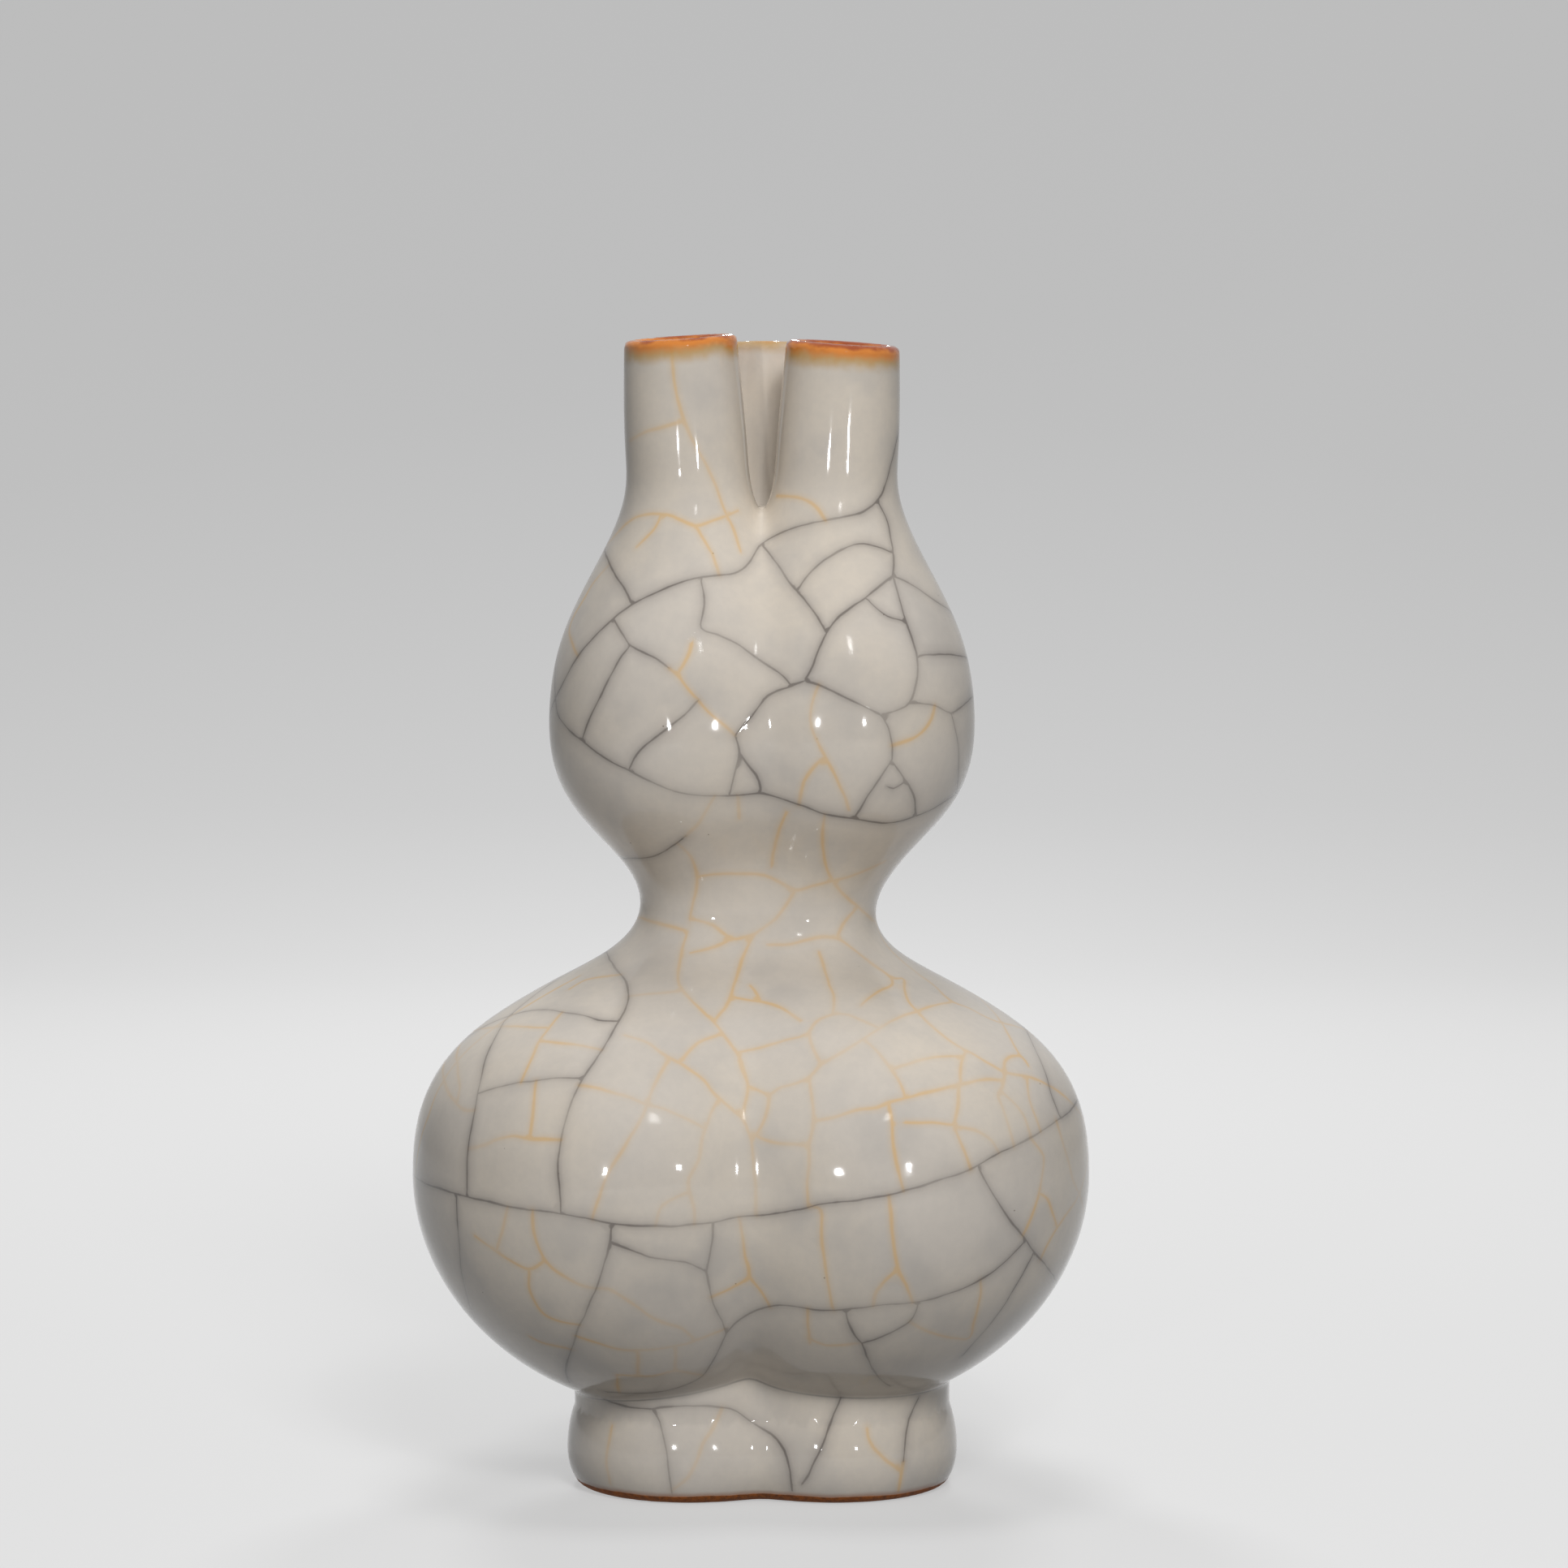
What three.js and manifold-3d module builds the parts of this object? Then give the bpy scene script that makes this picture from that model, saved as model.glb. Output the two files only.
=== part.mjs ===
// Conjoined gourd vase: three double gourds stand side by side, share one waist and one lobed foot,
// and end in three separate open necks. Crackled grey glaze, brown dressed mouths, brown foot rim.
// Millimetres, +Z up. The origin is the middle of the vase's outline, on the surface that it stands on.
// The front of the vase, with two gourds, faces -Y, and the third gourd is behind, towards +Y.

import * as THREE from "three";
import { mergeVertices } from "three/addons/utils/BufferGeometryUtils.js";
import Module from "manifold-3d";

const wasm = await Module();
wasm.setup();

// Driving heights, each measured from the station below it
const bulbBottom = 15;
const lowerBellyRise = 43.5;
const lowerSwellRise = 14;
const lowerShoulderRise = 12;
const lowerCollarRise = 8.5;
const lowerThroatRise = 5;
const waistRise = 8.5;
const upperCollarRise = 9;
const upperSwellRise = 9;
const upperBellyRise = 18.5;
const upperShoulderRise = 13.5;
const upperSlopeRise = 10.5;
const neckRootRise = 16.5;
const neckFlareRise = 6.5;
const neckRise = 20;

// Radius of one gourd about its own axis, at each station
const lowerBellyRadius = 40.3;
const lowerSwellRadius = 38.3;
const lowerShoulderRadius = 31.9;
const lowerCollarRadius = 23.5;
const lowerThroatRadius = 17.5;
const waistRadius = 14.6;
const upperCollarRadius = 16.3;
const upperSwellRadius = 21.3;
const upperBellyRadius = 24.7;
const upperShoulderRadius = 22.4;
const upperSlopeRadius = 18.1;
const neckRootRadius = 11.5;
const neckFlareRadius = 11.15;
const mouthRadius = 10.3;

// Distance from the vase's middle to each gourd's axis, at each station
const bottomSpread = 19;
const lowerBellySpread = 25;
const lowerSwellSpread = 24.6;
const lowerShoulderSpread = 21.2;
const lowerCollarSpread = 14.8;
const lowerThroatSpread = 11.2;
const waistSpread = 8.2;
const upperCollarSpread = 11.3;
const upperSwellSpread = 14.6;
const upperBellySpread = 16.3;
const upperShoulderSpread = 16.1;
const upperSlopeSpread = 15.5;
const neckRootSpread = 15.4;
const neckFlareSpread = 15.85;
const mouthSpread = 17;

// The lower bulbs sit a little to the left of the foot and the necks
const lowerBulbShift = 2;

// Clay, blending and joints
const bulbWall = 4;
const neckWall = 2.9;
const bulbBlend = 2.6;
const neckBlend = 0.8;
const lutingGap = 0.3;
const mouthTilt = 0.075;

// Dressed mouths. Each neck has its own height above the mean
const lipHeight = 2.4;
const lipRounding = 1.1;
const leftMouthRaise = 0.7;
const rightMouthRaise = -0.3;
const rearMouthRaise = -0.6;

// Foot
const footSpread = 15.3;
const footRimRadius = 19.2;
const footWidestRadius = 22.7;
const footTopRadius = 21.3;
const footWidestHeight = 7;
const footRimHeight = 1.4;
const footRimWidth = 3.6;
const footWall = 5;
const footBlend = 2.2;
const footFloorThickness = 3.8;
const footFloorGap = 0.3;

// Faces round one gourd, along its outer skin and across its two joint faces, and round the foot
const skinFaces = 20;
const jointFaces = 4;
const footFaces = 48;

// Courses of faces up each section, on its outside and in its hollow
const underCourses = 7;
const overCourses = 3;
const collarCourses = 5;
const underHollowCourses = 4;
const overHollowCourses = 2;
const collarHollowCourses = 3;
const upperUnderCourses = 7;
const upperOverCourses = 7;
const upperHollowCourses = 9;
const neckCourses = 2;
const footSwellCourses = 2;
const footRimCourses = 2;
const lipRoundingShares = [0, 0.7, 1];

// Past the joint planes and the ends of a section, a hollow runs on by this much
const cutThrough = 1.5;

// A ring shrinks to this radius where a form closes
const closedRadius = 0.4;

// Steps and closeness of the searches for a point on the skin
const searchSteps = 24;
const halvings = 30;
const slopePasses = 60;
const cornerSteps = 60;
const closeness = 1e-6;
const mergeCloseness = 1e-5;

const glaze = { color: 0xcdc8be, roughness: 0.12, metalness: 0 };
const dressedMouth = { color: 0xa8552c, roughness: 0.25, metalness: 0 };
const bareClay = { color: 0x6b3a17, roughness: 0.75, metalness: 0 };

const lowerBellyHeight = bulbBottom + lowerBellyRise;
const lowerSwellHeight = lowerBellyHeight + lowerSwellRise;
const lowerShoulderHeight = lowerSwellHeight + lowerShoulderRise;
const lowerCollarHeight = lowerShoulderHeight + lowerCollarRise;
const lowerThroatHeight = lowerCollarHeight + lowerThroatRise;
const waistHeight = lowerThroatHeight + waistRise;
const upperCollarHeight = waistHeight + upperCollarRise;
const upperSwellHeight = upperCollarHeight + upperSwellRise;
const upperBellyHeight = upperSwellHeight + upperBellyRise;
const upperShoulderHeight = upperBellyHeight + upperShoulderRise;
const upperSlopeHeight = upperShoulderHeight + upperSlopeRise;
const neckRootHeight = upperSlopeHeight + neckRootRise;
const neckFlareHeight = neckRootHeight + neckFlareRise;
const mouthHeight = neckFlareHeight + neckRise;

// The line of one gourd, from its lower belly up: height, radius and spread
const stations = [
  [lowerBellyHeight, lowerBellyRadius, lowerBellySpread],
  [lowerSwellHeight, lowerSwellRadius, lowerSwellSpread],
  [lowerShoulderHeight, lowerShoulderRadius, lowerShoulderSpread],
  [lowerCollarHeight, lowerCollarRadius, lowerCollarSpread],
  [lowerThroatHeight, lowerThroatRadius, lowerThroatSpread],
  [waistHeight, waistRadius, waistSpread],
  [upperCollarHeight, upperCollarRadius, upperCollarSpread],
  [upperSwellHeight, upperSwellRadius, upperSwellSpread],
  [upperBellyHeight, upperBellyRadius, upperBellySpread],
  [upperShoulderHeight, upperShoulderRadius, upperShoulderSpread],
  [upperSlopeHeight, upperSlopeRadius, upperSlopeSpread],
  [neckRootHeight, neckRootRadius, neckRootSpread],
  [neckFlareHeight, neckFlareRadius, neckFlareSpread],
  [mouthHeight, mouthRadius, mouthSpread],
];

// Slopes of the smoothest line through the stations: upright at the belly, straight at the mouth
function smoothSlopes(column) {
  const slopes = stations.map(() => 0);
  const last = stations.length - 1;
  const length = (i) => stations[i + 1][0] - stations[i][0];
  const rise = (i) => (stations[i + 1][column] - stations[i][column]) / length(i);
  for (let pass = 0; pass < slopePasses; pass += 1) {
    for (let i = 1; i < last; i += 1) {
      const below = 1 / length(i - 1);
      const above = 1 / length(i);
      const pull = 3 * (rise(i - 1) * below + rise(i) * above);
      slopes[i] = (pull - slopes[i - 1] * below - slopes[i + 1] * above) / (2 * (below + above));
    }
    slopes[last] = (3 * rise(last - 1) - slopes[last - 1]) / 2;
  }
  return slopes;
}

const slopes = [null, smoothSlopes(1), smoothSlopes(2)];

function alongLine(height, column) {
  const last = stations.length - 1;
  const top = stations[last];
  if (height >= top[0]) {
    return top[column] + (height - top[0]) * slopes[column][last];
  }
  let i = 0;
  while (height > stations[i + 1][0]) {
    i += 1;
  }
  const length = stations[i + 1][0] - stations[i][0];
  const t = (height - stations[i][0]) / length;
  const start = stations[i][column];
  const end = stations[i + 1][column];
  const bend = 3 * t * t - 2 * t * t * t;
  const lead = t * (1 - t) * (1 - t) * length * slopes[column][i];
  const trail = t * t * (t - 1) * length * slopes[column][i + 1];
  return start + (end - start) * bend + lead + trail;
}

// Below its belly a gourd is half an ellipsoid whose axis draws in towards the foot
function belowBelly(height) {
  return Math.min(1, (lowerBellyHeight - height) / lowerBellyRise);
}

function gourdRadius(height) {
  if (height >= lowerBellyHeight) {
    return alongLine(height, 1);
  }
  const depth = belowBelly(height);
  return lowerBellyRadius * Math.sqrt(Math.max(0, 1 - depth * depth));
}

function gourdSpread(height) {
  if (height >= lowerBellyHeight) {
    return alongLine(height, 2);
  }
  const depth = belowBelly(height);
  return lowerBellySpread - (lowerBellySpread - bottomSpread) * depth * depth;
}

function smoothStep(from, to, value) {
  const t = Math.min(1, Math.max(0, (value - from) / (to - from)));
  return t * t * (3 - 2 * t);
}

// Sideways place of the vase's middle line
function middleShift(height) {
  return -lowerBulbShift * (1 - smoothStep(lowerCollarHeight, upperCollarHeight, height));
}

function blendWidth(height) {
  return bulbBlend + (neckBlend - bulbBlend) * smoothStep(upperSlopeHeight, neckRootHeight, height);
}

// Tilt of the courses of clay: level up to the shoulder, then square to the leaning neck
function courseTilt(height) {
  return -mouthTilt * smoothStep(upperSlopeHeight, neckRootHeight, height);
}

// The three gourds, with the directions of their axes from the vase's middle
const gourds = [
  { name: "left", direction: (-5 * Math.PI) / 6, raise: leftMouthRaise },
  { name: "right", direction: -Math.PI / 6, raise: rightMouthRaise },
  { name: "rear", direction: Math.PI / 2, raise: rearMouthRaise },
];

// Distance to the smooth union of three circles round the middle, negative inside
function lobedDistance(x, y, radius, spread, blend) {
  const distances = gourds.map((gourd) => {
    const dx = x - spread * Math.cos(gourd.direction);
    const dy = y - spread * Math.sin(gourd.direction);
    return Math.hypot(dx, dy) - radius;
  });
  const nearest = Math.min(...distances);
  const sum = distances.reduce((total, d) => total + Math.exp((nearest - d) / blend), 0);
  return nearest - blend * Math.log(sum);
}

// Where a test turns true between two lengths
function edgeBetween(outside, from, to) {
  let near = from;
  let far = to;
  for (let i = 0; i < halvings; i += 1) {
    const middle = (near + far) / 2;
    if (outside(middle)) {
      far = middle;
    } else {
      near = middle;
    }
  }
  return far;
}

// Length of a ray from a gourd's axis to the skin, or to the planes of its two joints.
// past moves the joint planes outwards, so a hollow cut with it opens through them.
function reachOfRay(gourd, turn, form, past) {
  const angle = gourd.direction + turn;
  const axisX = form.spread * Math.cos(gourd.direction);
  const axisY = form.spread * Math.sin(gourd.direction);
  const halfWedge = Math.PI / gourds.length;
  const toPlane = form.spread * Math.sin(halfWedge) - lutingGap / 2 + past;
  const facing = Math.sin(Math.abs(turn) - halfWedge);
  const limit = facing > 0 ? toPlane / facing : Infinity;
  const outside = (r) => {
    const x = axisX + r * Math.cos(angle);
    const y = axisY + r * Math.sin(angle);
    return lobedDistance(x, y, form.radius, form.spread, form.blend) > 0;
  };
  const step = form.radius / searchSteps;
  let far = form.radius;
  while (!outside(far) && far < limit) {
    far += step;
  }
  return Math.min(edgeBetween(outside, Math.max(0, far - step), far), limit);
}

// Angle from a gourd's outward direction to the corner where its skin meets its joint planes
function cornerTurn(gourd, form, past) {
  const halfWedge = Math.PI / gourds.length;
  const toPlane = form.spread * Math.sin(halfWedge) - lutingGap / 2 + past;
  const largest = (5 * Math.PI) / 6;
  for (let i = 1; i < cornerSteps; i += 1) {
    const turn = halfWedge + ((largest - halfWedge) * i) / cornerSteps;
    if (reachOfRay(gourd, turn, form, past) >= toPlane / Math.sin(turn - halfWedge) - closeness) {
      return turn;
    }
  }
  return largest;
}

// One ring of points round a gourd's axis. Its courses tilt with the neck.
function gourdRing(gourd, height, form, past) {
  const corner = cornerTurn(gourd, form, past);
  const turns = [];
  for (let i = 0; i < skinFaces; i += 1) {
    turns.push(-corner + (2 * corner * i) / skinFaces);
  }
  for (let i = 0; i < jointFaces; i += 1) {
    turns.push(corner + ((2 * Math.PI - 2 * corner) * i) / jointFaces);
  }
  const raise = gourd.raise * smoothStep(neckRootHeight, mouthHeight - lipHeight, height);
  return turns.map((turn) => {
    const wrapped = turn > Math.PI ? turn - 2 * Math.PI : turn;
    const reach = reachOfRay(gourd, wrapped, form, past);
    const outward = reach * Math.cos(wrapped);
    const x = middleShift(height) + form.spread * Math.cos(gourd.direction);
    const y = form.spread * Math.sin(gourd.direction);
    return new THREE.Vector3(
      x + reach * Math.cos(gourd.direction + wrapped),
      y + reach * Math.sin(gourd.direction + wrapped),
      height + raise + courseTilt(height) * outward,
    );
  });
}

function formAt(height, inset) {
  return {
    radius: Math.max(closedRadius, gourdRadius(height) - inset),
    spread: gourdSpread(height),
    blend: blendWidth(height),
  };
}

// Closed solid through a stack of rings, bottom ring first, with a fan over each end
function loft(rings) {
  const count = rings[0].length;
  const points = rings.flat();
  const sumOf = (ring) => ring.reduce((sum, point) => sum.add(point), new THREE.Vector3());
  const middle = (ring) => sumOf(ring).divideScalar(count);
  points.push(middle(rings[0]), middle(rings[rings.length - 1]));
  const faces = [];
  for (let level = 0; level < rings.length - 1; level += 1) {
    for (let i = 0; i < count; i += 1) {
      const a = level * count + i;
      const b = level * count + ((i + 1) % count);
      faces.push(a, b, b + count, a, b + count, a + count);
    }
  }
  const top = (rings.length - 1) * count;
  for (let i = 0; i < count; i += 1) {
    const next = (i + 1) % count;
    faces.push(points.length - 2, next, i);
    faces.push(points.length - 1, top + i, top + next);
  }
  const geometry = new THREE.BufferGeometry();
  const places = points.flatMap((point) => point.toArray());
  geometry.setAttribute("position", new THREE.Float32BufferAttribute(places, 3));
  geometry.setIndex(faces);
  return geometry;
}

// Heights from one level to another, evenly apart
function evenHeights(from, to, count) {
  return Array.from({ length: count + 1 }, (_, i) => from + ((to - from) * i) / count);
}

// Heights from a rounded bottom up to the belly, closer together where the form closes
function closingHeights(bottom, belly, count) {
  const drop = (i) => Math.cos((Math.PI / 2) * (i / count));
  return Array.from({ length: count + 1 }, (_, i) => belly - (belly - bottom) * drop(i));
}

function toSolid(geometry) {
  const merged = mergeVertices(geometry, mergeCloseness);
  return new wasm.Manifold(new wasm.Mesh({
    numProp: 3,
    vertProperties: Float32Array.from(merged.attributes.position.array),
    triVerts: Uint32Array.from(merged.index.array),
  }));
}

function toGeometry(solid) {
  const mesh = solid.getMesh();
  const geometry = new THREE.BufferGeometry();
  geometry.setAttribute("position", new THREE.BufferAttribute(Float32Array.from(mesh.vertProperties), 3));
  geometry.setIndex(new THREE.BufferAttribute(Uint32Array.from(mesh.triVerts), 1));
  return geometry;
}

function cutAway(body, ...hollows) {
  return toGeometry(hollows.reduce((solid, hollow) => solid.subtract(toSolid(hollow)), toSolid(body)));
}

function gourdSolid(gourd, heights, inset, past) {
  return loft(heights.map((height) => gourdRing(gourd, height, formAt(height, inset), past)));
}

// Courses of the underside of every lower bulb
const underHeights = closingHeights(bulbBottom, lowerBellyHeight, underCourses);

// Inside of a bulb's wall, also below the belly where the hollow closes in its own rounded bottom
function hollowForm(height) {
  if (height >= lowerBellyHeight) {
    return formAt(height, bulbWall);
  }
  const depth = (lowerBellyHeight - height) / (lowerBellyRise - bulbWall);
  const radius = (lowerBellyRadius - bulbWall) * Math.sqrt(Math.max(0, 1 - depth * depth));
  return { radius: Math.max(closedRadius, radius), spread: gourdSpread(height), blend: bulbBlend };
}

function hollowRing(gourd, height, form) {
  return gourdRing(gourd, height, form, cutThrough);
}

function lowerBulb(gourd) {
  const top = waistHeight - lutingGap / 2;
  const over = evenHeights(lowerBellyHeight, lowerShoulderHeight, overCourses).slice(1);
  const collar = evenHeights(lowerShoulderHeight, top, collarCourses).slice(1);
  const body = gourdSolid(gourd, [...underHeights, ...over, ...collar], 0, 0);
  const hollowTop = waistHeight + cutThrough;
  const hollowHeights = [
    ...closingHeights(bulbBottom + bulbWall, lowerBellyHeight, underHollowCourses),
    ...evenHeights(lowerBellyHeight, lowerShoulderHeight, overHollowCourses).slice(1),
    ...evenHeights(lowerShoulderHeight, hollowTop, collarHollowCourses).slice(1),
  ];
  const hollow = loft(hollowHeights.map((height) => hollowRing(gourd, height, hollowForm(height))));
  return cutAway(body, hollow);
}

// The wall thins from the bulb to the neck
function wallAt(height) {
  return bulbWall + (neckWall - bulbWall) * smoothStep(upperSlopeHeight, neckRootHeight, height);
}

function upperBulb(gourd) {
  const bottom = waistHeight + lutingGap / 2;
  const top = neckRootHeight - lutingGap / 2;
  const under = evenHeights(bottom, upperBellyHeight, upperUnderCourses);
  const over = evenHeights(upperBellyHeight, top, upperOverCourses).slice(1);
  const body = gourdSolid(gourd, [...under, ...over], 0, 0);
  const hollowBottom = waistHeight - cutThrough;
  const hollowHeights = evenHeights(hollowBottom, neckRootHeight + cutThrough, upperHollowCourses);
  const innerForm = (height) => formAt(height, wallAt(height));
  const hollow = loft(hollowHeights.map((height) => hollowRing(gourd, height, innerForm(height))));
  return cutAway(body, hollow);
}

function neck(gourd) {
  const bottom = neckRootHeight + lutingGap / 2;
  const top = mouthHeight - lipHeight - lutingGap;
  const body = gourdSolid(gourd, evenHeights(bottom, top, neckCourses), 0, 0);
  const boreHeights = evenHeights(neckRootHeight - cutThrough, mouthHeight, neckCourses);
  const bore = gourdSolid(gourd, boreHeights, neckWall, 0);
  return cutAway(body, bore);
}

// A ring with a rounded top edge, outside and inside
function lip(gourd) {
  const bottom = mouthHeight - lipHeight;
  const shoulder = mouthHeight - lipRounding;
  const turnedIn = (height) => {
    const t = Math.min(1, Math.max(0, (height - shoulder) / lipRounding));
    return lipRounding * (1 - Math.sqrt(1 - t * t));
  };
  const rounding = lipRoundingShares.map((share) => shoulder + share * lipRounding);
  const outerHeights = [bottom, ...rounding];
  const outer = outerHeights.map((h) => gourdRing(gourd, h, formAt(h, turnedIn(h)), 0));
  const innerHeights = [bottom - cutThrough, ...rounding, mouthHeight + cutThrough];
  const inner = innerHeights.map((h) => gourdRing(gourd, h, formAt(h, neckWall - turnedIn(h)), 0));
  return cutAway(loft(outer), loft(inner));
}

// Three-lobed ring of points round the foot
function footRing(height, radius) {
  return Array.from({ length: footFaces }, (_, i) => {
    const angle = (2 * Math.PI * i) / footFaces;
    const x = Math.cos(angle);
    const y = Math.sin(angle);
    const outside = (r) => lobedDistance(r * x, r * y, radius, footSpread, footBlend) > 0;
    const reach = edgeBetween(outside, 0, 2 * (footSpread + radius));
    return new THREE.Vector3(reach * x, reach * y, height);
  });
}

// The foot's outside swells from the rim to its widest course, then draws in to meet the bulbs
function footRadius(height) {
  if (height < footWidestHeight) {
    const t = 1 - height / footWidestHeight;
    return footRimRadius + (footWidestRadius - footRimRadius) * Math.sqrt(Math.max(0, 1 - t * t));
  }
  const t = (height - footWidestHeight) / (bulbBottom - footWidestHeight);
  return footWidestRadius + (footTopRadius - footWidestRadius) * Math.min(1, t * t);
}

// The inside of the foot widens a little from the rim up
function footHollowRadius(height) {
  const atRim = footRimRadius - footRimWidth;
  const atFloor = footWidestRadius - footWall;
  return atRim + (atFloor - atRim) * (height / bulbBottom);
}

// The floor of the foot, and the height at which the foot wall ends between the bulbs
const floorTop = bulbBottom - lutingGap;
const floorBottom = floorTop - footFloorThickness;
const footTop = lowerBellyHeight - lowerBellyRise / 2;

// The floor's courses are courses of the hollow too, so the floor follows the hollow's wall
function footHollow(to) {
  return loft([-cutThrough, floorBottom, floorTop, to].map((h) => footRing(h, footHollowRadius(h))));
}

function footWallPiece() {
  const low = footRimHeight + lutingGap;
  const swell = evenHeights(low, footWidestHeight, footSwellCourses);
  const rise = evenHeights(footWidestHeight, bulbBottom, footSwellCourses).slice(1);
  const outer = loft([...swell, ...rise, footTop].map((h) => footRing(h, footRadius(h))));
  const inner = footHollow(footTop + cutThrough);
  const bulbs = gourds.map((gourd) => gourdSolid(gourd, underHeights, -2 * lutingGap, lutingGap));
  return cutAway(outer, inner, ...bulbs);
}

function footRimPiece() {
  const heights = evenHeights(0, footRimHeight, footRimCourses);
  const outer = loft(heights.map((h) => footRing(h, footRadius(h))));
  const inner = footHollow(footTop);
  return cutAway(outer, inner);
}

function footFloorPiece() {
  return loft([floorBottom, floorTop].map((h) => footRing(h, footHollowRadius(h) - footFloorGap)));
}

function piece(name, geometry, finish) {
  const mesh = new THREE.Mesh(geometry, new THREE.MeshStandardMaterial(finish));
  mesh.name = name;
  return mesh;
}

const vase = new THREE.Group();
for (const gourd of gourds) {
  vase.add(piece(`${gourd.name}_lower_bulb`, lowerBulb(gourd), glaze));
  vase.add(piece(`${gourd.name}_upper_bulb`, upperBulb(gourd), glaze));
  vase.add(piece(`${gourd.name}_neck`, neck(gourd), glaze));
  vase.add(piece(`${gourd.name}_mouth_lip`, lip(gourd), dressedMouth));
}
vase.add(piece("foot_wall", footWallPiece(), glaze));
vase.add(piece("foot_floor", footFloorPiece(), glaze));
vase.add(piece("foot_rim", footRimPiece(), bareClay));

// The lobes reach further behind the middle line than in front of it, so the whole vase moves to
// the middle of its outline
const outline = new THREE.Box3().setFromObject(vase);
const outlineMiddle = outline.getCenter(new THREE.Vector3());
vase.position.set(-outlineMiddle.x, -outlineMiddle.y, -outline.min.z);

export default vase;
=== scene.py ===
import math
from itertools import product

import bpy
import numpy as np
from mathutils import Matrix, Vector


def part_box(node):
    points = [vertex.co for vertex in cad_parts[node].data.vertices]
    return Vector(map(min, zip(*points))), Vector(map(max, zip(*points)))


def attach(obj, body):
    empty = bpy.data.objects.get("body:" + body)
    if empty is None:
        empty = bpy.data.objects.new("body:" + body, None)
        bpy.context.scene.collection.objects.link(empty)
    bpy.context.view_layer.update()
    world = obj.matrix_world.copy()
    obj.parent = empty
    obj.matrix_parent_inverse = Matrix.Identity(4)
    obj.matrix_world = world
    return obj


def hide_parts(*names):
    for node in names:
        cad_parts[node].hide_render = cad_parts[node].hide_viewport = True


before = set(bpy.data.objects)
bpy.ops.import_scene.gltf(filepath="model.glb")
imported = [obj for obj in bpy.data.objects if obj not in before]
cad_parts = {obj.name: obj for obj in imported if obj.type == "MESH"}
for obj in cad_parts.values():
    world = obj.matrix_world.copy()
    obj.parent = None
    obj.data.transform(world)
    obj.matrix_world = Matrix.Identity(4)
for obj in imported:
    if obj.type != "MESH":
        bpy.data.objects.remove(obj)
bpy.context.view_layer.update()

METRES = 0.001

BELLY_HEIGHT = 58.5
SHOULDER_HEIGHT = 93.0
WAIST_HEIGHT = 106.5
COLLAR_HEIGHT = 115.5
SLOPE_HEIGHT = 167.0
NECK_ROOT_HEIGHT = 183.5
MOUTH_HEIGHT = 210.0

# One gourd, station by station: height, radius about its own axis, distance of that axis from the
# middle of the vase
STATIONS = np.array([
    (BELLY_HEIGHT, 40.2, 25.0),
    (72.5, 38.3, 24.6),
    (84.5, 31.9, 21.2),
    (SHOULDER_HEIGHT, 23.5, 14.8),
    (98.0, 17.5, 11.2),
    (WAIST_HEIGHT, 14.6, 8.2),
    (COLLAR_HEIGHT, 16.3, 11.3),
    (124.5, 21.3, 14.6),
    (143.0, 24.7, 16.3),
    (156.5, 22.4, 16.1),
    (SLOPE_HEIGHT, 18.1, 15.5),
    (NECK_ROOT_HEIGHT, 11.5, 15.4),
    (190.0, 11.15, 15.85),
    (MOUTH_HEIGHT, 10.3, 17.0),
])
HEIGHTS = STATIONS[:, 0]
RADIUS, SPREAD = 1, 2
MOUTH_SPREAD = STATIONS[-1, SPREAD]

# Under the belly a gourd closes like an egg and its axis draws in; its middle shifts at the waist
BULB_BOTTOM = 15.0
BULB_DEPTH = BELLY_HEIGHT - BULB_BOTTOM
BOTTOM_DRAW_IN = 6.0
LOWER_BULB_SHIFT = -2.0

BULB_WALL = 4.0
NECK_WALL = 2.9
MOST_WALL_STRETCH = 1.9
WALL_SLOPE_REACH = 0.5

BULB_BLEND = 2.6
LOW_BLEND = 0.7
NECK_BLEND = 0.8

MOUTH_TILT = 0.075
LIP_ROUNDING = 1.15
LIP_HEIGHT = 2.4

# Direction of each gourd from the middle, and how much higher its mouth stands
GOURDS = (
    ("left", math.radians(-150), 0.7),
    ("right", math.radians(-30), -0.3),
    ("rear", math.radians(90), -0.6),
)

FOOT_SPREAD = 15.3
FOOT_RIM_RADIUS = 19.2
FOOT_WIDEST_RADIUS = 22.7
FOOT_TOP_RADIUS = 21.3
FOOT_WIDEST_HEIGHT = 7.0
FOOT_RIM_HEIGHT = 1.4
FOOT_RIM_WIDTH = 3.6
FOOT_WALL = 5.0
FOOT_BLEND = 2.2
FOOT_ROUNDING = 0.9
FOOT_TOP_HEIGHT = 36.0
RECESS_HEIGHT = 10.9
RECESS_ROUNDING = 2.0
CREASE_BLEND = 0.5

# The middle of the vase. The foot's rear lobe reaches further than the front two, so the middle of
# its box lies a quarter of the spread behind.
rim_low, rim_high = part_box("foot_rim")
MIDDLE_X = (rim_low.x + rim_high.x) / 2 / METRES
MIDDLE_Y = (rim_low.y + rim_high.y) / 2 / METRES - FOOT_SPREAD / 4


def between(first, second, share):
    return first + (second - first) * share


def eased(share):
    return share * share * (3 - 2 * share)


def smooth_step(start, end, value):
    return eased(np.clip((value - start) / (end - start), 0, 1))


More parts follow.
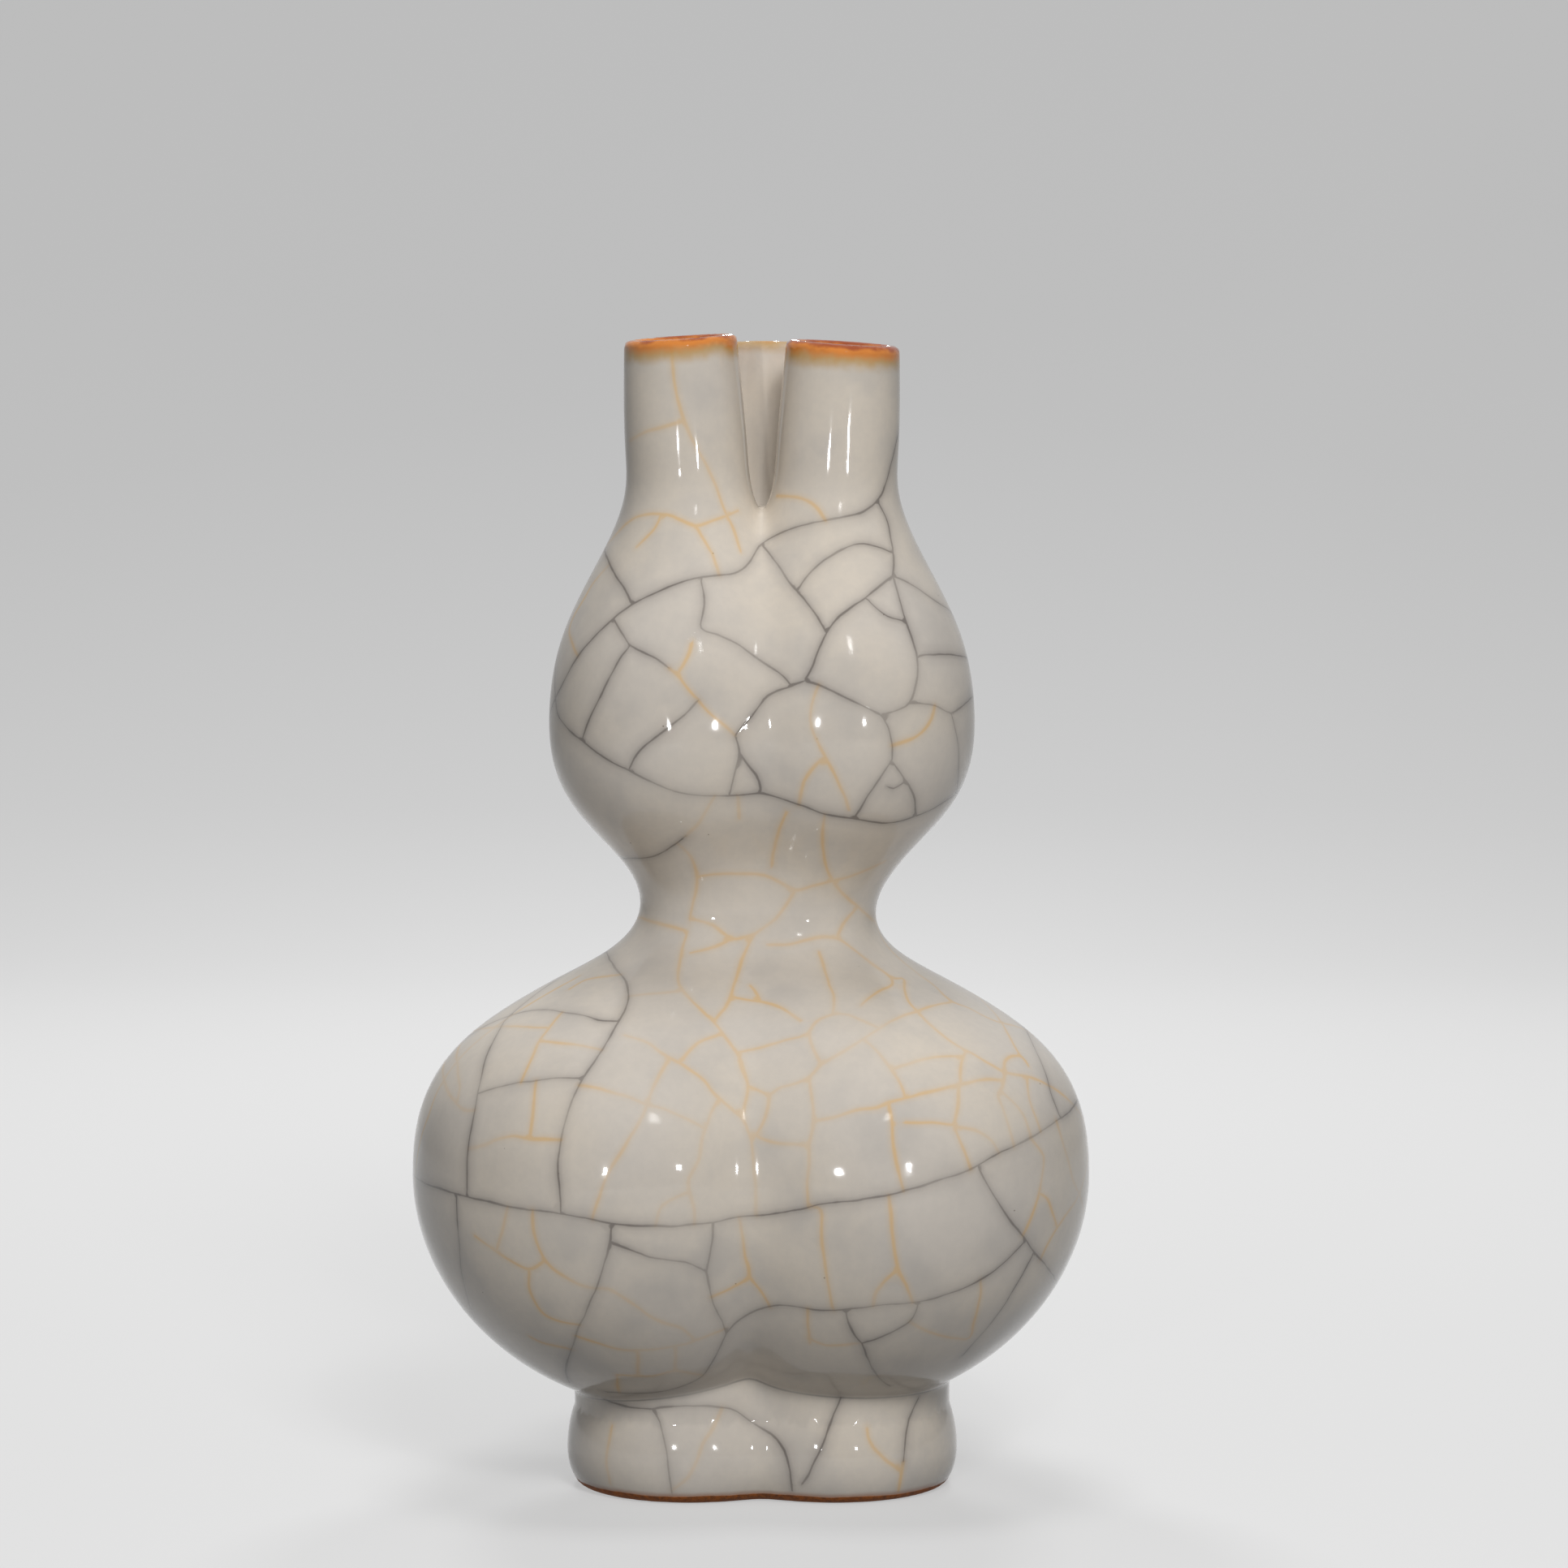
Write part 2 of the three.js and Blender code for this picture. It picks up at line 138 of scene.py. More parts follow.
def line_slopes(column):
    """Slopes of the smoothest line through the stations, upright at the belly."""
    values = STATIONS[:, column]
    length = np.diff(HEIGHTS)
    rise = np.diff(values) / length
    count = len(HEIGHTS)
    system, wanted = np.zeros((count, count)), np.zeros(count)
    system[0, 0] = 1
    for i in range(1, count - 1):
        system[i, i - 1:i + 2] = 1 / length[i - 1], 2 / length[i - 1] + 2 / length[i], 1 / length[i]
        wanted[i] = 3 * (rise[i - 1] / length[i - 1] + rise[i] / length[i])
    system[-1, -2:] = 1, 2
    wanted[-1] = 3 * rise[-1]
    return np.linalg.solve(system, wanted)


SLOPES = {column: line_slopes(column) for column in (RADIUS, SPREAD)}


def along_line(z, column):
    """Radius or spread of a gourd at heights from the belly up."""
    values, slopes = STATIONS[:, column], SLOPES[column]
    i = np.clip(np.searchsorted(HEIGHTS, z, side="right") - 1, 0, len(HEIGHTS) - 2)
    length = HEIGHTS[i + 1] - HEIGHTS[i]
    t = np.clip((z - HEIGHTS[i]) / length, 0, 1)
    ends = t * (1 - t) ** 2 * slopes[i] - t * t * (1 - t) * slopes[i + 1]
    line = between(values[i], values[i + 1], eased(t)) + length * ends
    return line + np.maximum(z - HEIGHTS[-1], 0) * slopes[-1]


def smooth_union(distances, blend):
    nearest = distances.min(0)
    return nearest - blend * np.log(np.exp((nearest - distances) / blend).sum(0))


def rounded_cut(a, b, radius):
    """The larger of two distances, with the edge between them rounded."""
    corner = np.hypot(np.maximum(a + radius, 0), np.maximum(b + radius, 0))
    return np.minimum(np.maximum(a, b), -radius) + corner


def middle_shift(z):
    return LOWER_BULB_SHIFT * (1 - smooth_step(SHOULDER_HEIGHT, COLLAR_HEIGHT, z))


def gourd_at(z):
    """A gourd at heights: the share of its depth under the belly, its radius and its spread."""
    depth = np.maximum(BELLY_HEIGHT - z, 0) / BULB_DEPTH
    above = np.maximum(z, BELLY_HEIGHT)
    spread = along_line(above, SPREAD) - BOTTOM_DRAW_IN * np.minimum(depth, 1) ** 2
    return depth, along_line(above, RADIUS), spread


def gourd_distances(x, y, z, wall):
    """Distance of points from the skin of each gourd, moved inwards by a wall, negative inside."""
    depth, radius, spread = gourd_at(z)
    fall = BULB_DEPTH / (BULB_DEPTH - wall)
    radius = radius - wall
    stretch = radius * depth * fall
    found = []
    for _, angle, _ in GOURDS:
        dx = x - MIDDLE_X - middle_shift(z) - spread * math.cos(angle)
        dy = y - MIDDLE_Y - spread * math.sin(angle)
        found.append(np.sqrt(dx * dx + dy * dy + stretch * stretch) - radius)
    return np.array(found)


def blend_width(z):
    upper = between(BULB_BLEND, NECK_BLEND, smooth_step(SLOPE_HEIGHT, NECK_ROOT_HEIGHT, z))
    return between(LOW_BLEND, upper, smooth_step(FOOT_TOP_HEIGHT / 2, BELLY_HEIGHT, z))


def above_mouths(x, y, z):
    """Height over the tilted plane of each mouth."""
    found = []
    for _, angle, raised in GOURDS:
        outward = (x - MIDDLE_X) * math.cos(angle) + (y - MIDDLE_Y) * math.sin(angle) - MOUTH_SPREAD
        found.append(z - MOUTH_HEIGHT - raised + MOUTH_TILT * outward)
    return np.array(found)


def level_wall(z):
    """Thickness of the wall measured level, which is more where the shoulder slopes."""
    wall = between(BULB_WALL, NECK_WALL, smooth_step(SLOPE_HEIGHT, NECK_ROOT_HEIGHT, z))
    above = np.maximum(z, BELLY_HEIGHT)
    low, high = above - WALL_SLOPE_REACH, above + WALL_SLOPE_REACH
    rise = sum(along_line(high, column) - along_line(low, column) for column in SLOPES)
    slope = rise / (2 * WALL_SLOPE_REACH)
    return wall * np.minimum(np.sqrt(1 + slope * slope), MOST_WALL_STRETCH)


def bulb_distance(x, y, z):
    """The three gourds grown together, with their mouths cut and rounded."""
    skins = gourd_distances(x, y, z, 0)
    return smooth_union(rounded_cut(skins, above_mouths(x, y, z), LIP_ROUNDING), blend_width(z))


def lobed_distance(x, y, radius):
    """Distance from the three-lobed outline of the foot."""
    found = []
    for _, angle, _ in GOURDS:
        dx = x - MIDDLE_X - FOOT_SPREAD * math.cos(angle)
        dy = y - MIDDLE_Y - FOOT_SPREAD * math.sin(angle)
        found.append(np.sqrt(dx * dx + dy * dy) - radius)
    return smooth_union(np.array(found), FOOT_BLEND)


def foot_distance(x, y, z):
    low = np.clip(1 - z / FOOT_WIDEST_HEIGHT, 0, 1)
    swell = (FOOT_WIDEST_RADIUS - FOOT_RIM_RADIUS) * (np.sqrt(1 - low * low) - 1)
    high = np.clip((z - FOOT_WIDEST_HEIGHT) / (BULB_BOTTOM - FOOT_WIDEST_HEIGHT), 0, 1)
    taper = (FOOT_TOP_RADIUS - FOOT_WIDEST_RADIUS) * high * high
    skin = lobed_distance(x, y, FOOT_WIDEST_RADIUS + swell + taper)
    return np.maximum(rounded_cut(skin, -z, FOOT_ROUNDING), z - FOOT_TOP_HEIGHT)


def recess_distance(x, y, z):
    """The hollow under the foot."""
    rim = FOOT_RIM_RADIUS - FOOT_RIM_WIDTH
    widening = (FOOT_WIDEST_RADIUS - FOOT_WALL - rim) * z / BULB_BOTTOM
    return rounded_cut(lobed_distance(x, y, rim + widening), z - RECESS_HEIGHT, RECESS_ROUNDING)


def body_distance(x, y, z):
    outside = smooth_union(np.array([bulb_distance(x, y, z), foot_distance(x, y, z)]), CREASE_BLEND)
    hollow = smooth_union(gourd_distances(x, y, z, level_wall(z)), blend_width(z))
    wall = rounded_cut(outside, -hollow, LIP_ROUNDING)
    return rounded_cut(wall, -recess_distance(x, y, z), FOOT_ROUNDING)


def distance_at(points):
    return body_distance(*points.T)


SLOPE_STEP = 0.02
FLATTEST = 0.05
LONGEST_STEP = 0.6
TINY = 1e-12


def gradient_at(points):
    columns = []
    for step in SLOPE_STEP * np.eye(3):
        columns.append((distance_at(points + step) - distance_at(points - step)) / (2 * SLOPE_STEP))
    return np.stack(columns, 1)


def unit(vectors):
    return vectors / np.maximum(np.linalg.norm(vectors, axis=-1, keepdims=True), TINY)


def settle(points, passes=4):
    """Points moved onto the skin of the vase."""
    for _ in range(passes):
        slope = gradient_at(points)
        steepness = np.maximum((slope ** 2).sum(1), FLATTEST)[:, None]
        move = distance_at(points)[:, None] * slope / steepness
        length = np.maximum(np.linalg.norm(move, axis=1, keepdims=True), TINY)
        points = points - move * np.minimum(1, LONGEST_STEP / length)
    return points


# The skin as a mesh

PITCH = 1.25


def cropped(array, axis, along, across=slice(None)):
    """One slice of an array along an axis, and another along the other two."""
    part = [across] * 3
    part[axis] = along
    return array[tuple(part)]


def surface_net(low, high, distance=body_distance):
    """Points and triangles of a skin, from the cells of a grid that it passes through."""
    counts = np.ceil((high - low) / PITCH).astype(int) + 1
    x, y, z = (low[axis] + PITCH * np.arange(counts[axis]) for axis in range(3))
    field = distance(x[:, None, None], y[None, :, None], z[None, None, :])
    cells = tuple(counts - 1)
    total, crossings = np.zeros((*cells, 3)), np.zeros(cells, int)
    before, after = slice(None, -1), slice(1, None)
    for axis in range(3):
        a, b = cropped(field, axis, before), cropped(field, axis, after)
        crossed = (a < 0) != (b < 0)
        share = np.where(crossed, a / np.where(crossed, a - b, 1), 0)
        others = [other for other in range(3) if other != axis]
        for corner in product((0, 1), repeat=2):
            part = [slice(None)] * 3
            for other, step in zip(others, corner):
                part[other] = slice(step, cells[other] + step)
            met = crossed[tuple(part)]
            crossings += met
            total[..., axis] += share[tuple(part)]
            for other, step in zip(others, corner):
                total[..., other] += step * met
    used = crossings > 0
    number = np.full(cells, -1)
    number[used] = np.arange(used.sum())
    points = low + PITCH * (np.argwhere(used) + total[used] / crossings[used][:, None])
    inside, inner = field < 0, slice(1, -1)
    quads = []
    for axis in range(3):
        crossed = cropped(inside, axis, before, inner) != cropped(inside, axis, after, inner)
        met = np.argwhere(crossed) + (np.arange(3) != axis)
        ring = []
        for back in ((1, 1), (0, 1), (0, 0), (1, 0)):
            cell = met.copy()
            cell[:, [(axis + 1) % 3, (axis + 2) % 3]] -= back
            ring.append(number[tuple(cell.T)])
        ring = np.stack(ring, 1)
        enters = ~inside[tuple(met.T)]
        ring[enters] = ring[enters][:, ::-1]
        quads.append(ring)
    return points, halved(points, np.concatenate(quads))


def halved(points, quads):
    """Two triangles for each quad, along its shorter diagonal."""
    a, b, c, d = points[quads.T]
    first = (np.linalg.norm(a - c, axis=1) <= np.linalg.norm(b - d, axis=1))[:, None]
    left = np.where(first, quads[:, [0, 1, 2]], quads[:, [0, 1, 3]])
    right = np.where(first, quads[:, [0, 2, 3]], quads[:, [1, 2, 3]])
    return np.concatenate([left, right])


def evened(points, faces, passes):
    """Points drawn towards the middle of their neighbours along the skin, and settled on it again."""
    following = faces[:, [1, 2, 0]]
    start = np.concatenate([faces, following]).ravel()
    end = np.concatenate([following, faces]).ravel()
    count = np.bincount(start, minlength=len(points))[:, None]
    for _ in range(passes):
        sums = [np.bincount(start, points[end, axis], len(points)) for axis in range(3)]
        points = settle(points + (np.stack(sums, 1) / count - points) / 2, 2)
    return points


def edges_of(faces):
    """The edges of the faces, each once, and each face's three edges by number."""
    pairs = np.sort(faces[:, [0, 1, 1, 2, 2, 0]].reshape(-1, 2), axis=1)
    edges, which = np.unique(pairs, axis=0, return_inverse=True)
    return edges, which.reshape(-1, 3)


def split_faces(faces, middles):
    """Faces split at the new points on their edges; -1 stands for an edge that stays whole."""
    count = (middles >= 0).sum(1)
    kept = [faces[count == 0]]
    for turn in range(3):
        ring = [(turn + i) % 3 for i in range(3)]
        a, b, c = faces[:, ring].T
        ab, bc, ca = middles[:, ring].T
        one = (count == 1) & (ab >= 0)
        two = (count == 2) & (ca < 0)
        for corners, some in (((a, ab, c), one), ((ab, b, c), one),
                              ((ab, b, bc), two), ((a, ab, bc), two), ((a, bc, c), two)):
            kept.append(np.stack(corners, 1)[some])
    all_three = count == 3
    (a, b, c), (ab, bc, ca) = faces[all_three].T, middles[all_three].T
    kept += [np.stack(corners, 1) for corners in ((a, ab, ca), (ab, b, bc), (ca, bc, c), (ab, bc, ca))]
    return np.concatenate(kept)


def crossing(start, end, first, second):
    """Places between starts and ends where the values at them pass through zero."""
    share = (first / (first - second))[:, None]
    return start * (1 - share) + end * share


SNAP_SHARE = 0.2


def parted(points, faces, values):
    """The mesh with an edge wherever the values at its points pass through zero."""
    edges, sides = edges_of(faces)
    points, values = points.copy(), values.copy()
    first, second = values[edges[:, 0]], values[edges[:, 1]]
    crossed = first * second < 0
    share = np.where(crossed, first / np.where(crossed, first - second, 1), 0.5)
    for end, close in ((0, crossed & (share < SNAP_SHARE)), (1, crossed & (share > 1 - SNAP_SHARE))):
        moved, chosen = np.unique(edges[close, end], return_index=True)
        spots = between(points[edges[:, 0]], points[edges[:, 1]], share[:, None])
        points[moved] = spots[np.flatnonzero(close)[chosen]]
        values[moved] = 0
    first, second = values[edges[:, 0]], values[edges[:, 1]]
    crossed = first * second < 0
    start, end = points[edges[crossed].T]
    added = crossing(start, end, first[crossed], second[crossed])
    number = np.full(len(edges), -1)
    number[crossed] = len(points) + np.arange(crossed.sum())
    return np.concatenate([points, added]), split_faces(faces, number[sides])


NET_LOW = np.array([-63.2, -60.4, -1.8])
NET_HIGH = np.array([64.0, 61.0, 213.5])
EVENING_PASSES = 3

# The mesh has edges along the crease between the bulbs and the foot, and a little to each side of it
CREASE_REACH = 45.0
CREASE_LINES = (-0.9, 0.0, 0.9)


def beside_crease(points):
    """0 on the crease between the bulbs and the foot, and less than 0 on the foot."""
    return foot_distance(*points.T) - bulb_distance(*points.T)


def skin_mesh():
    points, faces = surface_net(NET_LOW, NET_HIGH)
    points = evened(settle(points), faces, EVENING_PASSES)
    for line in CREASE_LINES:
        beside = np.where(points[:, 2] < CREASE_REACH, beside_crease(points) - line, 1.0)
        points, faces = parted(points, faces, beside)
        low = points[:, 2] < CREASE_REACH
        points[low] = settle(points[low], 3)
    return points, faces


# The crackle

# Lines of the crackle that show in the photograph, each a row of places (across, down)
# in a frame of 1932 by 1932 pixels
PICTURE_SIZE = 1932
DARK_LINES = (
    ((687, 854), (712, 809), (731, 786), (755, 763), (780, 745), (831, 720), (876, 709), (906, 706),
     (921, 695), (938, 671), (957, 659), (982, 649), (1014, 642), (1043, 636), (1063, 631), (1081, 616),
     (1092, 594), (1100, 564), (1107, 533)),
    ((938, 671), (953, 690), (970, 714), (983, 729), (998, 747), (1019, 780)),
    ((983, 729), (990, 715), (1006, 698), (1024, 685), (1043, 674), (1061, 670), (1080, 674), (1101, 682)),
    ((1081, 616), (1093, 643), (1097, 663), (1101, 682), (1102, 696), (1100, 710)),
    ((1100, 710), (1084, 722), (1066, 736), (1045, 751), (1031, 763), (1019, 780), (1010, 798),
     (1002, 820), (991, 839)),
    ((1100, 710), (1116, 716), (1133, 726), (1151, 740), (1167, 750)),
    ((1100, 710), (1107, 731), (1115, 763), (1130, 810), (1130, 833), (1126, 853), (1121, 866),
     (1108, 875), (1086, 881)),
    ((1066, 736), (1078, 748), (1094, 760), (1115, 767)),
    ((1130, 810), (1135, 808), (1155, 806), (1190, 810)),
    ((1121, 866), (1137, 867), (1153, 870), (1172, 878), (1186, 869), (1198, 859)),
    ((1172, 878), (1178, 901), (1181, 922), (1181, 945), (1179, 980)),
    ((991, 839), (975, 845), (957, 851), (944, 859), (928, 880), (906, 906)),
    ((975, 845), (969, 837), (951, 824), (931, 810), (914, 797), (901, 789), (885, 782), (864, 774),
     (865, 761), (867, 736), (864, 716)),
    ((991, 839), (1008, 844), (1031, 855), (1055, 867), (1086, 881)),
    ((1086, 881), (1096, 899), (1099, 916), (1099, 937)),
    ((1099, 937), (1086, 956), (1069, 981), (1052, 1009)),
    ((1099, 937), (1111, 956), (1123, 973), (1128, 987), (1128, 1005)),
    ((685, 866), (687, 880), (698, 896), (717, 913), (737, 928), (756, 941), (775, 950), (794, 960),
     (823, 972), (844, 978), (867, 981), (890, 981), (914, 979), (937, 978), (958, 982), (977, 989),
     (1014, 1002), (1052, 1009), (1088, 1014), (1111, 1011), (1128, 1005), (1150, 996), (1176, 979)),
    ((755, 763), (767, 780), (777, 794), (796, 805), (814, 815), (824, 823)),
    ((906, 906), (911, 928), (907, 945), (902, 964), (900, 976)),
    ((911, 928), (922, 943), (932, 954), (937, 968), (937, 978)),
    ((777, 794), (767, 807), (754, 830), (740, 857), (723, 893), (717, 912)),
    ((857, 866), (842, 881), (824, 895), (803, 912), (786, 928), (774, 949)),
    ((744, 677), (749, 689), (754, 701), (767, 723), (780, 745)),
    ((769, 1058), (794, 1057), (809, 1054), (824, 1046), (844, 1031)),
    ((749, 1177), (756, 1189), (768, 1206), (774, 1219), (774, 1233), (768, 1248), (762, 1258),
     (749, 1282), (730, 1311), (718, 1328), (707, 1351), (698, 1376), (691, 1404), (688, 1438),
     (689, 1461), (691, 1495)),
    ((762, 1258), (739, 1257), (720, 1251), (699, 1248), (672, 1244), (649, 1246), (634, 1250)),
    ((651, 1232), (634, 1246), (622, 1258), (611, 1277), (601, 1298), (594, 1321), (588, 1348),
     (584, 1376), (579, 1403), (576, 1428), (575, 1474)),
    ((588, 1348), (607, 1342), (624, 1337), (643, 1333), (663, 1331), (691, 1328), (718, 1329)),
    ((511, 1452), (529, 1460), (550, 1467), (575, 1474), (607, 1482), (634, 1488), (663, 1492),
     (691, 1496), (720, 1501), (754, 1507), (777, 1510), (799, 1511), (828, 1511), (855, 1508),
     (878, 1506), (895, 1502), (912, 1499), (952, 1496), (990, 1489), (1010, 1484), (1033, 1481),
     (1057, 1478), (1094, 1473), (1114, 1467), (1136, 1462), (1156, 1455), (1179, 1447), (1205, 1436),
     (1232, 1420), (1251, 1411), (1278, 1397), (1305, 1378), (1320, 1367), (1330, 1353)),
    ((1262, 1263), (1270, 1282), (1280, 1303), (1290, 1328), (1297, 1353), (1306, 1376)),
    ((562, 1474), (563, 1496), (564, 1513), (566, 1534), (567, 1557), (571, 1578), (577, 1601),
     (584, 1624)),
    ((754, 1508), (752, 1532), (744, 1559), (735, 1587), (724, 1612), (714, 1633), (706, 1658),
     (699, 1676), (697, 1690), (702, 1704)),
    ((752, 1532), (768, 1537), (787, 1544), (799, 1549), (824, 1553), (849, 1556), (860, 1561),
     (870, 1568)),
    ((878, 1507), (878, 1522), (875, 1543), (872, 1566), (874, 1584), (878, 1601), (884, 1616),
     (891, 1630), (895, 1643)),
    ((895, 1643), (904, 1633), (918, 1622), (933, 1614), (948, 1610), (966, 1609), (987, 1611),
     (1006, 1614), (1029, 1614), (1060, 1611), (1089, 1608), (1123, 1605), (1146, 1601), (1169, 1594),
     (1190, 1586), (1211, 1575), (1228, 1563), (1246, 1548), (1263, 1529)),
    ((1205, 1436), (1219, 1463), (1234, 1488), (1247, 1507), (1263, 1526), (1274, 1542), (1286, 1555),
     (1298, 1572)),
    ((1274, 1543), (1263, 1564), (1251, 1586), (1236, 1610), (1219, 1633), (1202, 1652), (1184, 1672)),
    ((1132, 1605), (1130, 1614), (1121, 1628), (1106, 1638), (1083, 1648), (1061, 1656)),
    ((1042, 1614), (1047, 1633), (1054, 1647), (1061, 1656), (1070, 1676), (1078, 1692), (1088, 1703),
     (1097, 1708)),
    ((895, 1644), (888, 1659), (876, 1680), (865, 1696), (844, 1707), (813, 1715), (775, 1717),
     (746, 1715)),
    ((744, 1724), (767, 1732), (785, 1735), (803, 1736), (828, 1733), (861, 1733), (891, 1735),
     (903, 1737), (928, 1753), (947, 1764), (955, 1770), (967, 1786), (972, 1803), (975, 1826),
     (976, 1837)),
    ((1036, 1722), (1028, 1742), (1019, 1764), (1009, 1791), (998, 1812), (988, 1829)),
    ((1132, 1722), (1123, 1742), (1117, 1764), (1114, 1787), (1113, 1801)),
    ((803, 1737), (812, 1749), (817, 1766), (821, 1791), (824, 1816), (828, 1841)),
    ((1093, 969), (1100, 972), (1108, 968), (1115, 964), (1117, 971), (1119, 978)),
)

